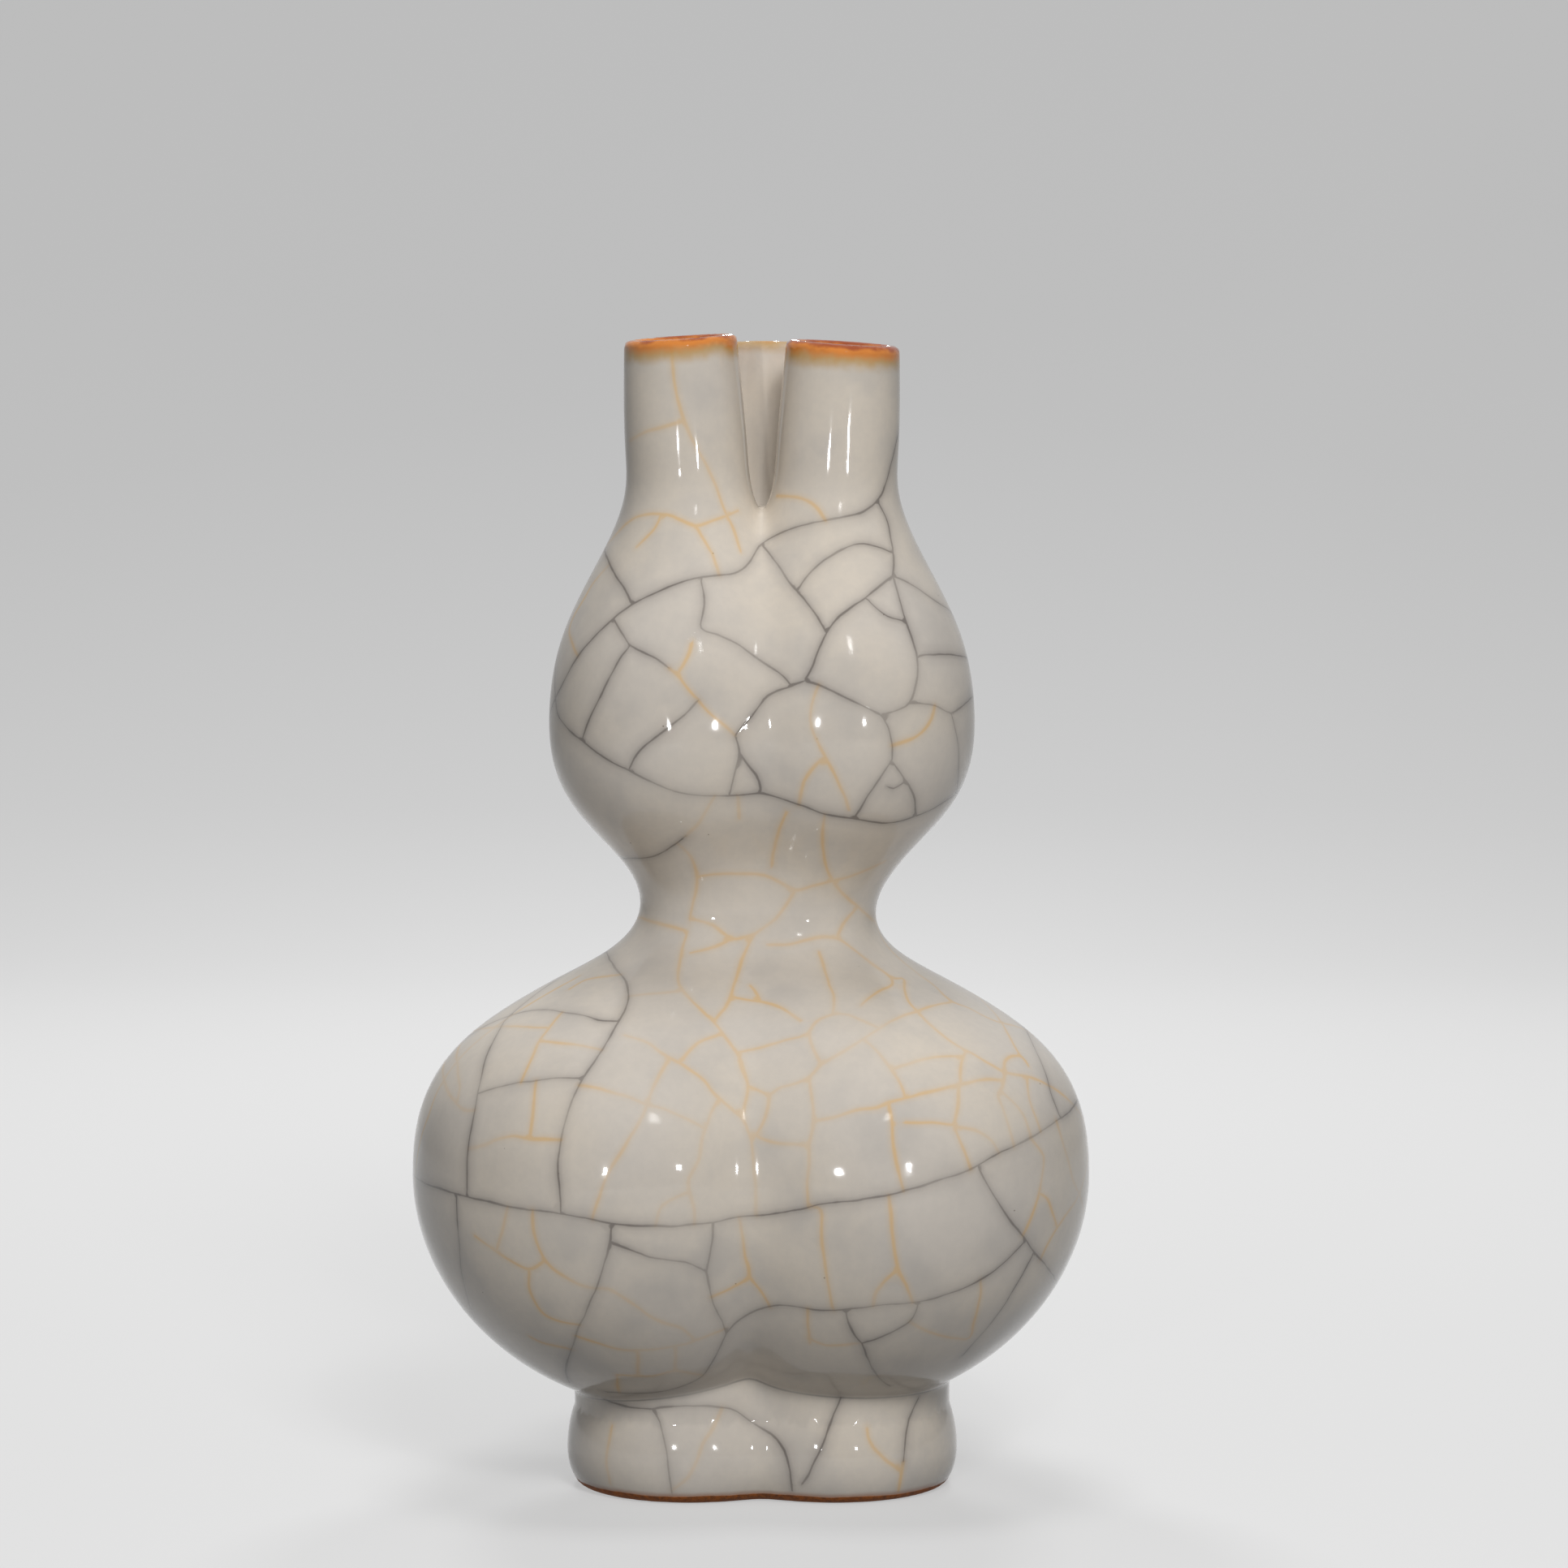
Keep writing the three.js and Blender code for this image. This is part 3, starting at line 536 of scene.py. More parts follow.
GOLDEN_LINES = (
    ((824, 823), (839, 837), (856, 859), (872, 877), (888, 890), (906, 906)),
    ((844, 1031), (859, 1016), (868, 1003), (874, 993), (880, 982)),
    ((1113, 1801), (1110, 1818), (1107, 1837)),
    ((828, 428), (829, 456), (834, 487), (842, 518), (856, 548), (870, 574), (883, 602), (893, 630),
     (903, 650), (913, 680)),
    ((776, 543), (794, 532), (814, 527), (837, 522)),
    ((749, 670), (760, 657), (774, 643), (789, 635), (806, 633), (824, 635), (842, 642), (858, 647),
     (874, 643), (894, 635), (910, 629)),
    ((815, 637), (808, 650), (797, 662), (783, 675)),
    ((858, 648), (871, 670), (880, 687), (885, 704)),
    ((957, 611), (980, 613), (996, 618), (1008, 626), (1016, 640)),
    ((747, 700), (731, 718), (719, 739), (706, 761), (701, 777), (705, 793), (712, 807)),
    ((837, 829), (846, 811), (853, 791)),
    ((1008, 847), (1002, 859), (998, 876), (999, 895), (1006, 912), (1016, 931), (1027, 952),
     (1035, 968), (1042, 983), (1046, 998)),
    ((1016, 933), (1002, 945), (991, 962), (986, 987)),
    ((1152, 871), (1148, 885), (1136, 901), (1123, 910), (1104, 917)),
    ((836, 1040), (849, 1052), (856, 1066), (859, 1083), (856, 1103), (850, 1132)),
    ((859, 1080), (885, 1077), (910, 1077), (941, 1078), (958, 1086), (980, 1096), (997, 1092),
     (1024, 1086), (1050, 1079), (1072, 1070), (1091, 1061)),
    ((980, 1097), (968, 1115), (953, 1134), (936, 1147)),
    ((1016, 1005), (1014, 1030), (1015, 1054), (1021, 1076), (1027, 1086), (1043, 1105), (1060, 1120),
     (1079, 1137)),
    ((970, 999), (962, 1018), (956, 1040), (951, 1067)),
    ((910, 987), (911, 1008)),
    ((788, 1131), (808, 1136), (832, 1143), (847, 1147)),
    ((850, 1133), (868, 1136), (883, 1143), (897, 1154), (907, 1157), (931, 1150)),
    ((847, 1147), (841, 1171), (836, 1193), (838, 1214), (849, 1229), (866, 1246), (883, 1263),
     (897, 1282), (910, 1299), (918, 1319), (923, 1340)),
    ((931, 1150), (924, 1161), (914, 1183), (905, 1210), (897, 1236), (885, 1256)),
    ((851, 1174), (876, 1168), (900, 1159)),
    ((946, 1164), (973, 1164), (997, 1157), (1014, 1154), (1031, 1156), (1053, 1171), (1079, 1190),
     (1099, 1205)),
    ((1031, 1155), (1040, 1137), (1055, 1121)),
    ((1009, 1173), (1014, 1190), (1021, 1212), (1028, 1229), (1023, 1246)),
    ((774, 1228), (803, 1224), (837, 1223)),
    ((740, 1205), (764, 1201)),
    ((910, 1231), (939, 1234), (958, 1240), (977, 1251), (987, 1258)),
    ((924, 1214), (939, 1231)),
    ((910, 1296), (941, 1290), (968, 1282), (993, 1274), (1007, 1258), (1023, 1251), (1043, 1250),
     (1060, 1257), (1079, 1263)),
    ((768, 1275), (783, 1280), (799, 1286), (814, 1296), (828, 1305), (837, 1309), (853, 1321),
     (866, 1330), (879, 1346), (887, 1354), (902, 1367), (914, 1377), (922, 1395), (926, 1407),
     (928, 1428), (930, 1447), (932, 1467), (931, 1494)),
    ((837, 1309), (849, 1296), (862, 1284), (881, 1276)),
    ((822, 1307), (811, 1328), (803, 1346), (798, 1361), (787, 1384), (775, 1404), (760, 1427),
     (750, 1444), (739, 1471), (730, 1499)),
    ((718, 1338), (739, 1341), (758, 1347), (777, 1353), (795, 1361), (814, 1365), (837, 1374),
     (857, 1383), (868, 1390)),
    ((886, 1354), (878, 1367), (872, 1386), (866, 1401), (862, 1424), (855, 1441), (849, 1454),
     (850, 1469), (855, 1490), (856, 1507)),
    ((846, 1469), (828, 1478), (814, 1488), (808, 1505)),
    ((905, 1300), (914, 1317), (922, 1336), (922, 1342), (917, 1363), (914, 1377)),
    ((923, 1338), (948, 1349), (962, 1340), (981, 1335), (997, 1327), (1011, 1313), (1029, 1302),
     (1048, 1291), (1064, 1280), (1083, 1267), (1098, 1258), (1117, 1250), (1131, 1246), (1148, 1239),
     (1173, 1234)),
    ((948, 1349), (945, 1369), (939, 1386), (931, 1399)),
    ((931, 1399), (946, 1405), (964, 1409), (985, 1411), (997, 1412)),
    ((994, 1270), (1000, 1288), (1008, 1307)),
    ((997, 1328), (1000, 1347), (1002, 1370), (1001, 1390), (997, 1412), (996, 1434), (993, 1480)),
    ((1004, 1382), (1029, 1376), (1057, 1368), (1080, 1364), (1094, 1358), (1117, 1352), (1140, 1346),
     (1163, 1341), (1190, 1335), (1213, 1330), (1236, 1331)),
    ((1065, 1280), (1075, 1290), (1089, 1305), (1100, 1319), (1110, 1336), (1115, 1351)),
    ((1060, 1177), (1079, 1191), (1098, 1204), (1100, 1212), (1079, 1223), (1060, 1240)),
    ((1098, 1206), (1114, 1206), (1114, 1219), (1121, 1236), (1131, 1247), (1144, 1261), (1163, 1277),
     (1182, 1290), (1198, 1298), (1217, 1309), (1238, 1321), (1257, 1325), (1272, 1328), (1290, 1336)),
    ((1136, 1203), (1152, 1215), (1165, 1228), (1175, 1235), (1194, 1242), (1213, 1252), (1232, 1260),
     (1247, 1263)),
    ((1190, 1294), (1184, 1309), (1183, 1324), (1184, 1336)),
    ((1100, 1318), (1117, 1311), (1146, 1303), (1186, 1300)),
    ((1182, 1338), (1181, 1355), (1179, 1372), (1176, 1386), (1182, 1403), (1190, 1422), (1194, 1437)),
    ((1176, 1386), (1156, 1384), (1133, 1383), (1112, 1383)),
    ((1094, 1359), (1098, 1376), (1101, 1409), (1104, 1428), (1108, 1447), (1113, 1465)),
    ((1238, 1322), (1238, 1309), (1244, 1302), (1259, 1302), (1267, 1313)),
    ((1238, 1267), (1247, 1284), (1257, 1300)),
    ((1238, 1323), (1235, 1342), (1230, 1349), (1236, 1367), (1242, 1388), (1248, 1407)),
    ((1236, 1347), (1251, 1361), (1261, 1374), (1268, 1393)),
    ((1182, 1387), (1205, 1394), (1223, 1407), (1230, 1418)),
    ((1267, 1332), (1267, 1351), (1280, 1388)),
    ((1302, 1382), (1307, 1400), (1316, 1430), (1323, 1457), (1329, 1469)),
    ((1335, 1454), (1328, 1475), (1314, 1496), (1303, 1513), (1291, 1534), (1284, 1549)),
    ((1271, 1406), (1286, 1423), (1286, 1438), (1282, 1463), (1276, 1486), (1267, 1509), (1261, 1520)),
    ((1282, 1471), (1290, 1476), (1297, 1496), (1301, 1511)),
    ((1095, 1475), (1098, 1494), (1100, 1522), (1104, 1549), (1107, 1563), (1115, 1580), (1124, 1601)),
    ((1106, 1564), (1091, 1578), (1079, 1593), (1076, 1607)),
    ((911, 1499), (914, 1522), (919, 1549), (922, 1572), (902, 1586), (881, 1597)),
    ((922, 1572), (937, 1589), (948, 1607)),
    ((1000, 1486), (1010, 1490), (1012, 1519), (1016, 1549), (1020, 1582), (1026, 1611)),
    ((655, 1494), (658, 1519), (666, 1542), (678, 1559), (699, 1575), (716, 1584), (733, 1587),
     (749, 1588), (768, 1599), (787, 1612), (799, 1621), (818, 1630), (837, 1635), (855, 1647)),
    ((625, 1488), (622, 1503), (617, 1522), (614, 1536)),
    ((584, 1522), (607, 1538), (626, 1551), (653, 1564), (666, 1555)),
    ((653, 1566), (652, 1587), (661, 1607), (672, 1620), (691, 1628), (712, 1632)),
    ((715, 1648), (737, 1655), (760, 1662), (794, 1664), (826, 1660), (851, 1654), (872, 1646),
     (891, 1639)),
    ((786, 1665), (786, 1694)),
    ((760, 1694), (803, 1695), (832, 1689), (851, 1692), (863, 1694)),
    ((760, 1694), (760, 1713)),
    ((833, 1663), (832, 1688)),
    ((687, 1252), (678, 1265), (664, 1284), (653, 1309), (643, 1329)),
    ((594, 1267), (619, 1265), (643, 1265), (672, 1266)),
    ((664, 1283), (691, 1285), (714, 1288), (733, 1292)),
    ((660, 1336), (658, 1361), (653, 1397)),
    ((578, 1415), (596, 1411), (615, 1403), (634, 1400), (653, 1403), (676, 1404), (689, 1405)),
    ((546, 1324), (552, 1346), (563, 1361), (573, 1368), (584, 1368)),
    ((546, 1332), (536, 1351), (529, 1372), (523, 1388)),
    ((563, 1300), (565, 1326), (569, 1353)),
    ((754, 1757), (750, 1778), (747, 1803), (752, 1828)),
    ((890, 1740), (880, 1759), (867, 1778), (857, 1803), (846, 1824), (838, 1837)),
    ((1078, 1786), (1091, 1799), (1108, 1812)),
    ((1068, 1757), (1070, 1772), (1078, 1786)),
    ((1121, 1629), (1136, 1637), (1156, 1644), (1175, 1649), (1194, 1649), (1200, 1631), (1205, 1614),
     (1208, 1595), (1208, 1580)),
    ((998, 1655), (1024, 1658), (1057, 1655)),
    ((996, 1618), (995, 1649)),
    ((653, 1647), (668, 1654), (699, 1660)),
    ((701, 1219), (720, 1208), (745, 1203), (764, 1201)),
)


# The camera: its place, how far it looks down, and its lens
EYE = np.array([6.03, -1006.3, 207.0])
LOOK_DOWN = math.radians(4.48)
LENS = 124.95
SENSOR = 36.0
PIXELS_AWAY = LENS / SENSOR * PICTURE_SIZE
PICTURE_STEP = 4

# Rays start this far before the middle of the vase, and step on by a safe share of the distance
NEAR_SIDE = 90.0
HIT_STEPS = 40
SAFE_SHARE = 0.7

LINE_STEP = 0.25
LONGEST_JUMP = 3.0
LOOK_BACK = 3


def rays(places):
    """Directions from the camera through places in the picture."""
    across, down = (places.T - PICTURE_SIZE / 2) / PIXELS_AWAY
    ahead = np.array([0, math.cos(LOOK_DOWN), -math.sin(LOOK_DOWN)])
    above = np.array([0, math.sin(LOOK_DOWN), math.cos(LOOK_DOWN)])
    return unit(np.array([1.0, 0, 0]) * across[:, None] + ahead - above * down[:, None])


def first_hits(starts, directions):
    """Where rays meet the skin, or come nearest to it."""
    travelled = np.zeros(len(starts))
    nearest, best = np.full(len(starts), np.inf), travelled.copy()
    for _ in range(HIT_STEPS):
        gap = distance_at(starts + directions * travelled[:, None])
        closer = gap < nearest
        nearest[closer], best[closer] = gap[closer], travelled[closer]
        travelled += SAFE_SHARE * gap
    return settle(starts + directions * best[:, None])


def curve_through(places):
    """Points of a smooth curve through places in the picture."""
    places = np.asarray(places, float)
    padded = np.concatenate([[2 * places[0] - places[1]], places, [2 * places[-1] - places[-2]]])
    found = []
    for i in range(1, len(padded) - 2):
        a, b, c, d = padded[i - 1:i + 3]
        ab, bc, cd = (np.linalg.norm(way) ** 0.5 for way in (b - a, c - b, d - c))
        at_b = (b - a) / ab - (c - a) / (ab + bc) + (c - b) / bc
        at_c = (c - b) / bc - (d - b) / (bc + cd) + (d - c) / cd
        count = max(int(np.linalg.norm(c - b) / PICTURE_STEP), 1)
        t = np.arange(count)[:, None] / count
        ends = (2 * t ** 3 - 3 * t ** 2 + 1) * b + (3 * t ** 2 - 2 * t ** 3) * c
        found.append(ends + bc * ((t ** 3 - 2 * t ** 2 + t) * at_b + (t ** 3 - t ** 2) * at_c))
    return np.concatenate(found + [places[-1:]])


def running_total(lengths):
    return np.concatenate([[0], np.cumsum(lengths)])


def stepped(line):
    """The same line with its points evenly apart."""
    length = running_total(np.linalg.norm(np.diff(line, axis=0), axis=1))
    count = max(int(round(length[-1] / LINE_STEP)), 2)
    at = np.linspace(0, length[-1], count + 1)
    return np.stack([np.interp(at, length, line[:, axis]) for axis in range(3)], 1)


def unbroken(line):
    """The parts of a line between jumps from one side of a gap to the other."""
    jumps = np.flatnonzero(np.linalg.norm(np.diff(line, axis=0), axis=1) > LONGEST_JUMP) + 1
    return [part for part in np.split(line, jumps) if len(part) > LOOK_BACK]


def apart(every, lines):
    """Rows for all the lines together, back to one group for each line."""
    return np.split(every, np.cumsum([len(line) for line in lines])[:-1])


# Small turns of a crack: how far aside, the points from turn to turn with their share of it, and the
# points over which the turns fade out at its ends
WOBBLE = 0.13
WOBBLE_TURNS = ((16, 1.0), (6, 0.45))
WOBBLE_FADE = 8


def wandering(lines, random):
    """The lines with the small turns of real cracks."""
    lines = [stepped(line) for line in lines]
    facing = apart(unit(gradient_at(np.concatenate(lines))), lines)
    found = []
    for line, outward in zip(lines, facing):
        aside = np.cross(unit(np.gradient(line, axis=0)), outward)
        order = np.arange(len(line))
        shift = np.zeros(len(line))
        for spacing, share in WOBBLE_TURNS:
            knots = random.uniform(-WOBBLE, WOBBLE, len(line) // spacing + 3) * share
            shift += np.interp(order / spacing, np.arange(len(knots)), knots)
        shift *= np.minimum(1, np.minimum(order, order[::-1]) / WOBBLE_FADE)
        found.append(line + aside * shift[:, None])
    return apart(settle(np.concatenate(found), 2), found)


def on_skin(charts, starts, directions):
    """Rows of places in a chart or a picture, followed along their rays to the skin."""
    spots = first_hits(starts, directions)
    return [part for line in apart(spots, charts) for part in unbroken(line)]


def traced(lines, random):
    """Lines of the photograph laid on the side of the vase that shows in it."""
    curves = [curve_through(places) for places in lines]
    directions = rays(np.concatenate(curves))
    starts = EYE + directions * (np.linalg.norm(EYE[:2]) - NEAR_SIDE)
    return wandering(carried_round(on_skin(curves, starts, directions)), random)


# The long crack behind each outline of the vase: how far behind the side it runs at some heights, in
# radians, and the swing and length of its waves
SIDE_HEIGHTS = (0, 60, 100, 118, 145, 185)
SIDE_BEHIND = (0.02, -0.06, 0.25, 0.25, -0.02, 0.1)
SIDE_WAVES = ((0.05, 9.0), (0.035, 4.1))

# A line's end is about to run out of sight where the skin faces the camera less than this, and goes on
# behind the outline by so many steps at most
EDGE_ON = 0.42
ROUND_STEP = 1.0
ROUND_STEPS = 32


def side_angle(z, side):
    """Direction of the long crack behind an outline, from the middle; side is 1 or -1."""
    waves = [swing * np.sin(z / length + (i + 1) * side) for i, (swing, length) in enumerate(SIDE_WAVES)]
    return math.pi / 2 - side * (math.pi / 2 - np.interp(z, SIDE_HEIGHTS, SIDE_BEHIND) - sum(waves))


def round_angle(spots):
    """Direction of spots from the middle, between -90 and 270 degrees."""
    x = spots[:, 0] - MIDDLE_X - middle_shift(spots[:, 2])
    return (np.arctan2(spots[:, 1] - MIDDLE_Y, x) + math.pi / 2) % (2 * math.pi) - math.pi / 2


def carried_round(lines):
    """Lines that run out of sight go on as far as the crack behind the outline."""
    spots = np.array([line[end] for line in lines for end in (0, -1)])
    before = np.array([line[end] for line in lines for end in (LOOK_BACK, -1 - LOOK_BACK)])
    ahead = unit(spots - before)
    facing = (unit(gradient_at(spots)[:, :2]) * unit((EYE - spots)[:, :2])).sum(1)
    going = (facing < EDGE_ON) & (spots[:, 2] < NECK_ROOT_HEIGHT)
    added = [[] for _ in spots]
    for _ in range(ROUND_STEPS):
        angle, height = round_angle(spots), spots[:, 2]
        going &= ~((side_angle(height, 1) < angle) & (angle < side_angle(height, -1)))
        chosen = np.flatnonzero(going)
        if not len(chosen):
            break
        following = settle(spots[chosen] + ahead[chosen] * ROUND_STEP, 2)
        ahead[chosen] = unit(following - spots[chosen])
        spots[chosen] = following
        for i, spot in zip(chosen, following):
            added[i].append(spot)
    found = []
    for i, line in enumerate(lines):
        first = np.array(added[2 * i][::-1]).reshape(-1, 3)
        last = np.array(added[2 * i + 1]).reshape(-1, 3)
        found.append(np.concatenate([first, line, last]))
    return found


# A crack that halves a cell: the most that it is turned, in radians, and moved aside, bowed and
# swayed, as shares of a length, the step between its points, and the least and most share of the
# limit that a cell may have
MOST_TURN = 0.35
MOST_ASIDE = 0.35
MOST_BOW = 0.13
MOST_SWAY = 0.05
CRACK_STEP = 1.5
CELL_SHARES = (0.5, 1.6)


def halves(cell, stretch, random):
    """A crack across a cell of the crackle, and the two cells that it leaves."""
    middle = cell.mean(0)
    flat = (cell - middle) * stretch
    around = np.concatenate([flat, flat[:1]])
    size, directions = np.linalg.eigh(np.cov(flat.T))
    x, y = directions[:, 0]
    turn = random.uniform(-MOST_TURN, MOST_TURN)
    across = np.array([x * math.cos(turn) - y * math.sin(turn), x * math.sin(turn) + y * math.cos(turn)])
    normal = np.array([-across[1], across[0]])
    shift = normal * random.uniform(-MOST_ASIDE, MOST_ASIDE) * math.sqrt(size[1])
    side = (around - shift) @ normal
    crossed = np.flatnonzero(side[:-1] * side[1:] < 0)
    meets = crossing(around[crossed], around[crossed + 1], side[crossed], side[crossed + 1])
    along = (meets - shift) @ across
    if not (along > 0).any() or not (along < 0).any():
        return None
    first = np.flatnonzero(along < 0)[along[along < 0].argmax()]
    second = np.flatnonzero(along > 0)[along[along > 0].argmin()]
    start, end = meets[first], meets[second]
    length = np.linalg.norm(end - start)
    t = np.linspace(0, 1, max(int(length / CRACK_STEP), 3))
    bow = random.uniform(-MOST_BOW, MOST_BOW) * 4 * t * (1 - t)
    bow += random.uniform(-MOST_SWAY, MOST_SWAY) * np.sin(2 * math.pi * t)
    crack = start + (end - start) * t[:, None] + normal * (bow * length)[:, None]
    i, j = crossed[first], crossed[second]
    if i > j:
        i, j, crack = j, i, crack[::-1]
    one = np.concatenate([flat[i + 1:j + 1], crack[::-1]])
    other = np.concatenate([flat[j + 1:], flat[:i + 1], crack])
    return [part / stretch + middle for part in (crack, one, other)]


def cell_area(cell, stretch):
    x, y = (cell * stretch).T
    return abs((x * np.roll(y, -1) - y * np.roll(x, -1)).sum()) / 2


def crackle(cell, stretch_at, limit_at, random):
    """Cracks that halve a cell again and again, as far as the limit of its size."""
    cracks, cells, open_cells = [], [], [cell]
    while open_cells:
        cell = open_cells.pop()
        stretch = stretch_at(cell)
        parts = None
        if cell_area(cell, stretch) > limit_at(cell) * random.uniform(*CELL_SHARES):
            parts = halves(cell, stretch, random)
        if parts is None:
            cells.append(cell)
            continue
        cracks.append(parts[0])
        open_cells += parts[1:]
    return cracks, cells


def two_crackles(cell, stretch_at, dark_at, golden_at, random):
    dark, cells = crackle(cell, stretch_at, dark_at, random)
    golden = []
    for cell in cells:
        golden += crackle(cell, stretch_at, golden_at, random)[0]
    return dark, golden


def laid(cracks, starts_at, random):
    """Cracks of a flat chart laid on the skin."""
    if not cracks:
        return []
    return wandering(on_skin(cracks, *starts_at(np.concatenate(cracks))), random)


def chart_sides(left, right, levels):
    """The sides of a chart of angles and levels, up the left one and down the right one."""
    up, down = (np.stack(np.broadcast_arrays(angle, levels), 1) for angle in (left, right))
    return [up, down[::-1]]


def towards_axis(angle, z, x, y, away):
    """Rays that start round an upright axis, at a distance from it, and run straight towards it."""
    outward = np.stack([np.cos(angle), np.sin(angle), 0 * z], 1)
    axis = np.stack(np.broadcast_arrays(MIDDLE_X + x, MIDDLE_Y + y, z), 1)
    return axis + outward * np.reshape(away, (-1, 1)), -outward


# The chart of the back: for each crackle a height, and the sizes of cells below and above it in
# square millimetres, then where the chart starts and ends and how far off its rays start
BACK_DARK_CELLS = (WAIST_HEIGHT, 1500, 800)
BACK_GOLDEN_CELLS = (WAIST_HEIGHT + 12, 210, 520)
BACK_LOW = BULB_BOTTOM + 3
BACK_HIGH = NECK_ROOT_HEIGHT - 2
BACK_REACH = 80.0
PROFILE_POINTS = 240
BACK_SIDE_POINTS = 130


def back_crackle(random):
    """Both crackles on the half of the bulbs and the waist that the photograph doesn't show."""
    heights = np.linspace(BACK_LOW, BACK_HIGH, PROFILE_POINTS)
    depth, radius, spread = gourd_at(heights)
    reach = radius * np.sqrt(1 - depth ** 2) + spread
    way = running_total(np.hypot(np.diff(heights), np.diff(reach)))
    levels = np.linspace(way[0], way[-1], BACK_SIDE_POINTS)
    level_heights = np.interp(levels, way, heights)
    sides = chart_sides(side_angle(level_heights, 1), side_angle(level_heights, -1), levels)

    def starts_at(spots):
        z = np.interp(spots[:, 1], way, heights)
        return towards_axis(spots[:, 0], z, middle_shift(z), 0, BACK_REACH)

    def stretch_at(cell):
        return np.array([np.interp(cell[:, 1].mean(), way, reach), 1.0])

    def limit(border, below, above):
        return lambda cell: below if np.interp(cell[:, 1].mean(), way, heights) < border else above

    dark, golden = two_crackles(
        np.concatenate(sides), stretch_at, limit(*BACK_DARK_CELLS), limit(*BACK_GOLDEN_CELLS), random)
    return laid(dark + sides, starts_at, random), laid(golden, starts_at, random)


# The chart of a neck: where it starts and ends about the neck's own axis, in radians from the right,
# the size of its cells, the radius that it is stretched by and how far off its rays start
FRONT_NECK_ENDS = (0.25, math.pi - 0.25)
REAR_NECK_ENDS = (-0.7, math.pi + 0.7)
NECK_CELLS = 190
NECK_GIRTH_RADIUS = 11.0
NECK_REACH = 1.0
NECK_SIDE_POINTS = 16
NECK_CHART_ENDS = (NECK_ROOT_HEIGHT - 1, MOUTH_HEIGHT - LIP_HEIGHT - 1)


def neck_crackle(random):
    """Fine cracks on the backs of the three necks."""
    found = []
    levels = np.linspace(*NECK_CHART_ENDS, NECK_SIDE_POINTS)
    for name, angle, _ in GOURDS:
        ends = REAR_NECK_ENDS if name == "rear" else FRONT_NECK_ENDS

        def starts_at(spots, angle=angle):
            turn, z = spots.T
            spread, away = along_line(z, SPREAD), along_line(z, RADIUS) + NECK_REACH
            return towards_axis(turn, z, spread * math.cos(angle), spread * math.sin(angle), away)

        cracks, _ = crackle(
            np.concatenate(chart_sides(*ends, levels)), lambda cell: np.array([NECK_GIRTH_RADIUS, 1.0]),
            lambda cell: NECK_CELLS, random)
        found += laid(cracks, starts_at, random)
    return found


def lobed_ring(radius, count, passes):
    """Places round the three-lobed outline of the foot."""
    turns = np.linspace(0, 2 * math.pi, count, endpoint=False)
    outward = np.stack([np.cos(turns), np.sin(turns)], 1)
    reach = np.full(count, FOOT_SPREAD + radius)
    for _ in range(passes):
        spots = outward * reach[:, None] + (MIDDLE_X, MIDDLE_Y)
        reach -= SAFE_SHARE * lobed_distance(*spots.T, radius)
    return outward * reach[:, None] + (MIDDLE_X, MIDDLE_Y)


# The charts of the foot and of the recess: the sizes of their cells, how many cracks of the foot are
# dark, and the ring round the recess as its number of places and of passes
FOOT_CELLS = 200
FOOT_DARK_CRACKS = 2
FOOT_GIRTH_RADIUS = 36.0
FOOT_REACH = 60.0
FOOT_SIDE_POINTS = 12
FOOT_CHART_ENDS = (FOOT_RIM_HEIGHT + 0.6, BULB_BOTTOM - 0.5)
RECESS_DARK_CELLS, RECESS_GOLDEN_CELLS = 1100, 210
RECESS_START = 2.0
RECESS_RING = (90, 40)
RECESS_RADIUS = FOOT_RIM_RADIUS - FOOT_RIM_WIDTH - 1.5


def foot_crackle(random):
    """Cracks on the back of the foot and in the recess under it."""
    levels = np.linspace(*FOOT_CHART_ENDS, FOOT_SIDE_POINTS)
    cell = np.concatenate(chart_sides(side_angle(levels, 1), side_angle(levels, -1), levels))

    def starts_at(spots):
        return towards_axis(*spots.T, 0, 0, FOOT_REACH)

    cracks, _ = crackle(
        cell, lambda cell: np.array([FOOT_GIRTH_RADIUS, 1.0]), lambda cell: FOOT_CELLS, random)
    dark = laid(cracks[:FOOT_DARK_CRACKS], starts_at, random)
    golden = laid(cracks[FOOT_DARK_CRACKS:], starts_at, random)

    def from_below(spots):
        starts = np.concatenate([spots, np.full((len(spots), 1), RECESS_START)], 1)
        return starts, np.tile([0, 0, 1.0], (len(spots), 1))

    under_dark, under_golden = two_crackles(
        lobed_ring(RECESS_RADIUS, *RECESS_RING), lambda cell: np.ones(2),
        lambda cell: RECESS_DARK_CELLS, lambda cell: RECESS_GOLDEN_CELLS, random)
    return dark + laid(under_dark, from_below, random), golden + laid(under_golden, from_below, random)


JOIN_REACH = 1.6
JOIN_FADE = 3.0


def joined(lines):
    """Lines whose ends are drawn onto another line close by, so that no end stops just short."""
    owner = np.repeat(np.arange(len(lines)), [len(line) for line in lines])
    every = np.concatenate(lines)
    found = []
    for i, line in enumerate(lines):
        others = every[owner != i]
        line = line.copy()
        for end in (0, -1):
            near = others[np.abs(others - line[end]).max(1) < JOIN_REACH]
            gaps = np.linalg.norm(near - line[end], axis=1)
            if len(near) and gaps.min() < JOIN_REACH:
                away = np.linalg.norm(line - line[end], axis=1)
                share = np.clip(1 - away / JOIN_FADE, 0, 1)[:, None]
                line += (near[gaps.argmin()] - line[end]) * share
        found.append(stepped(line))
    return apart(settle(np.concatenate(found), 2), found)


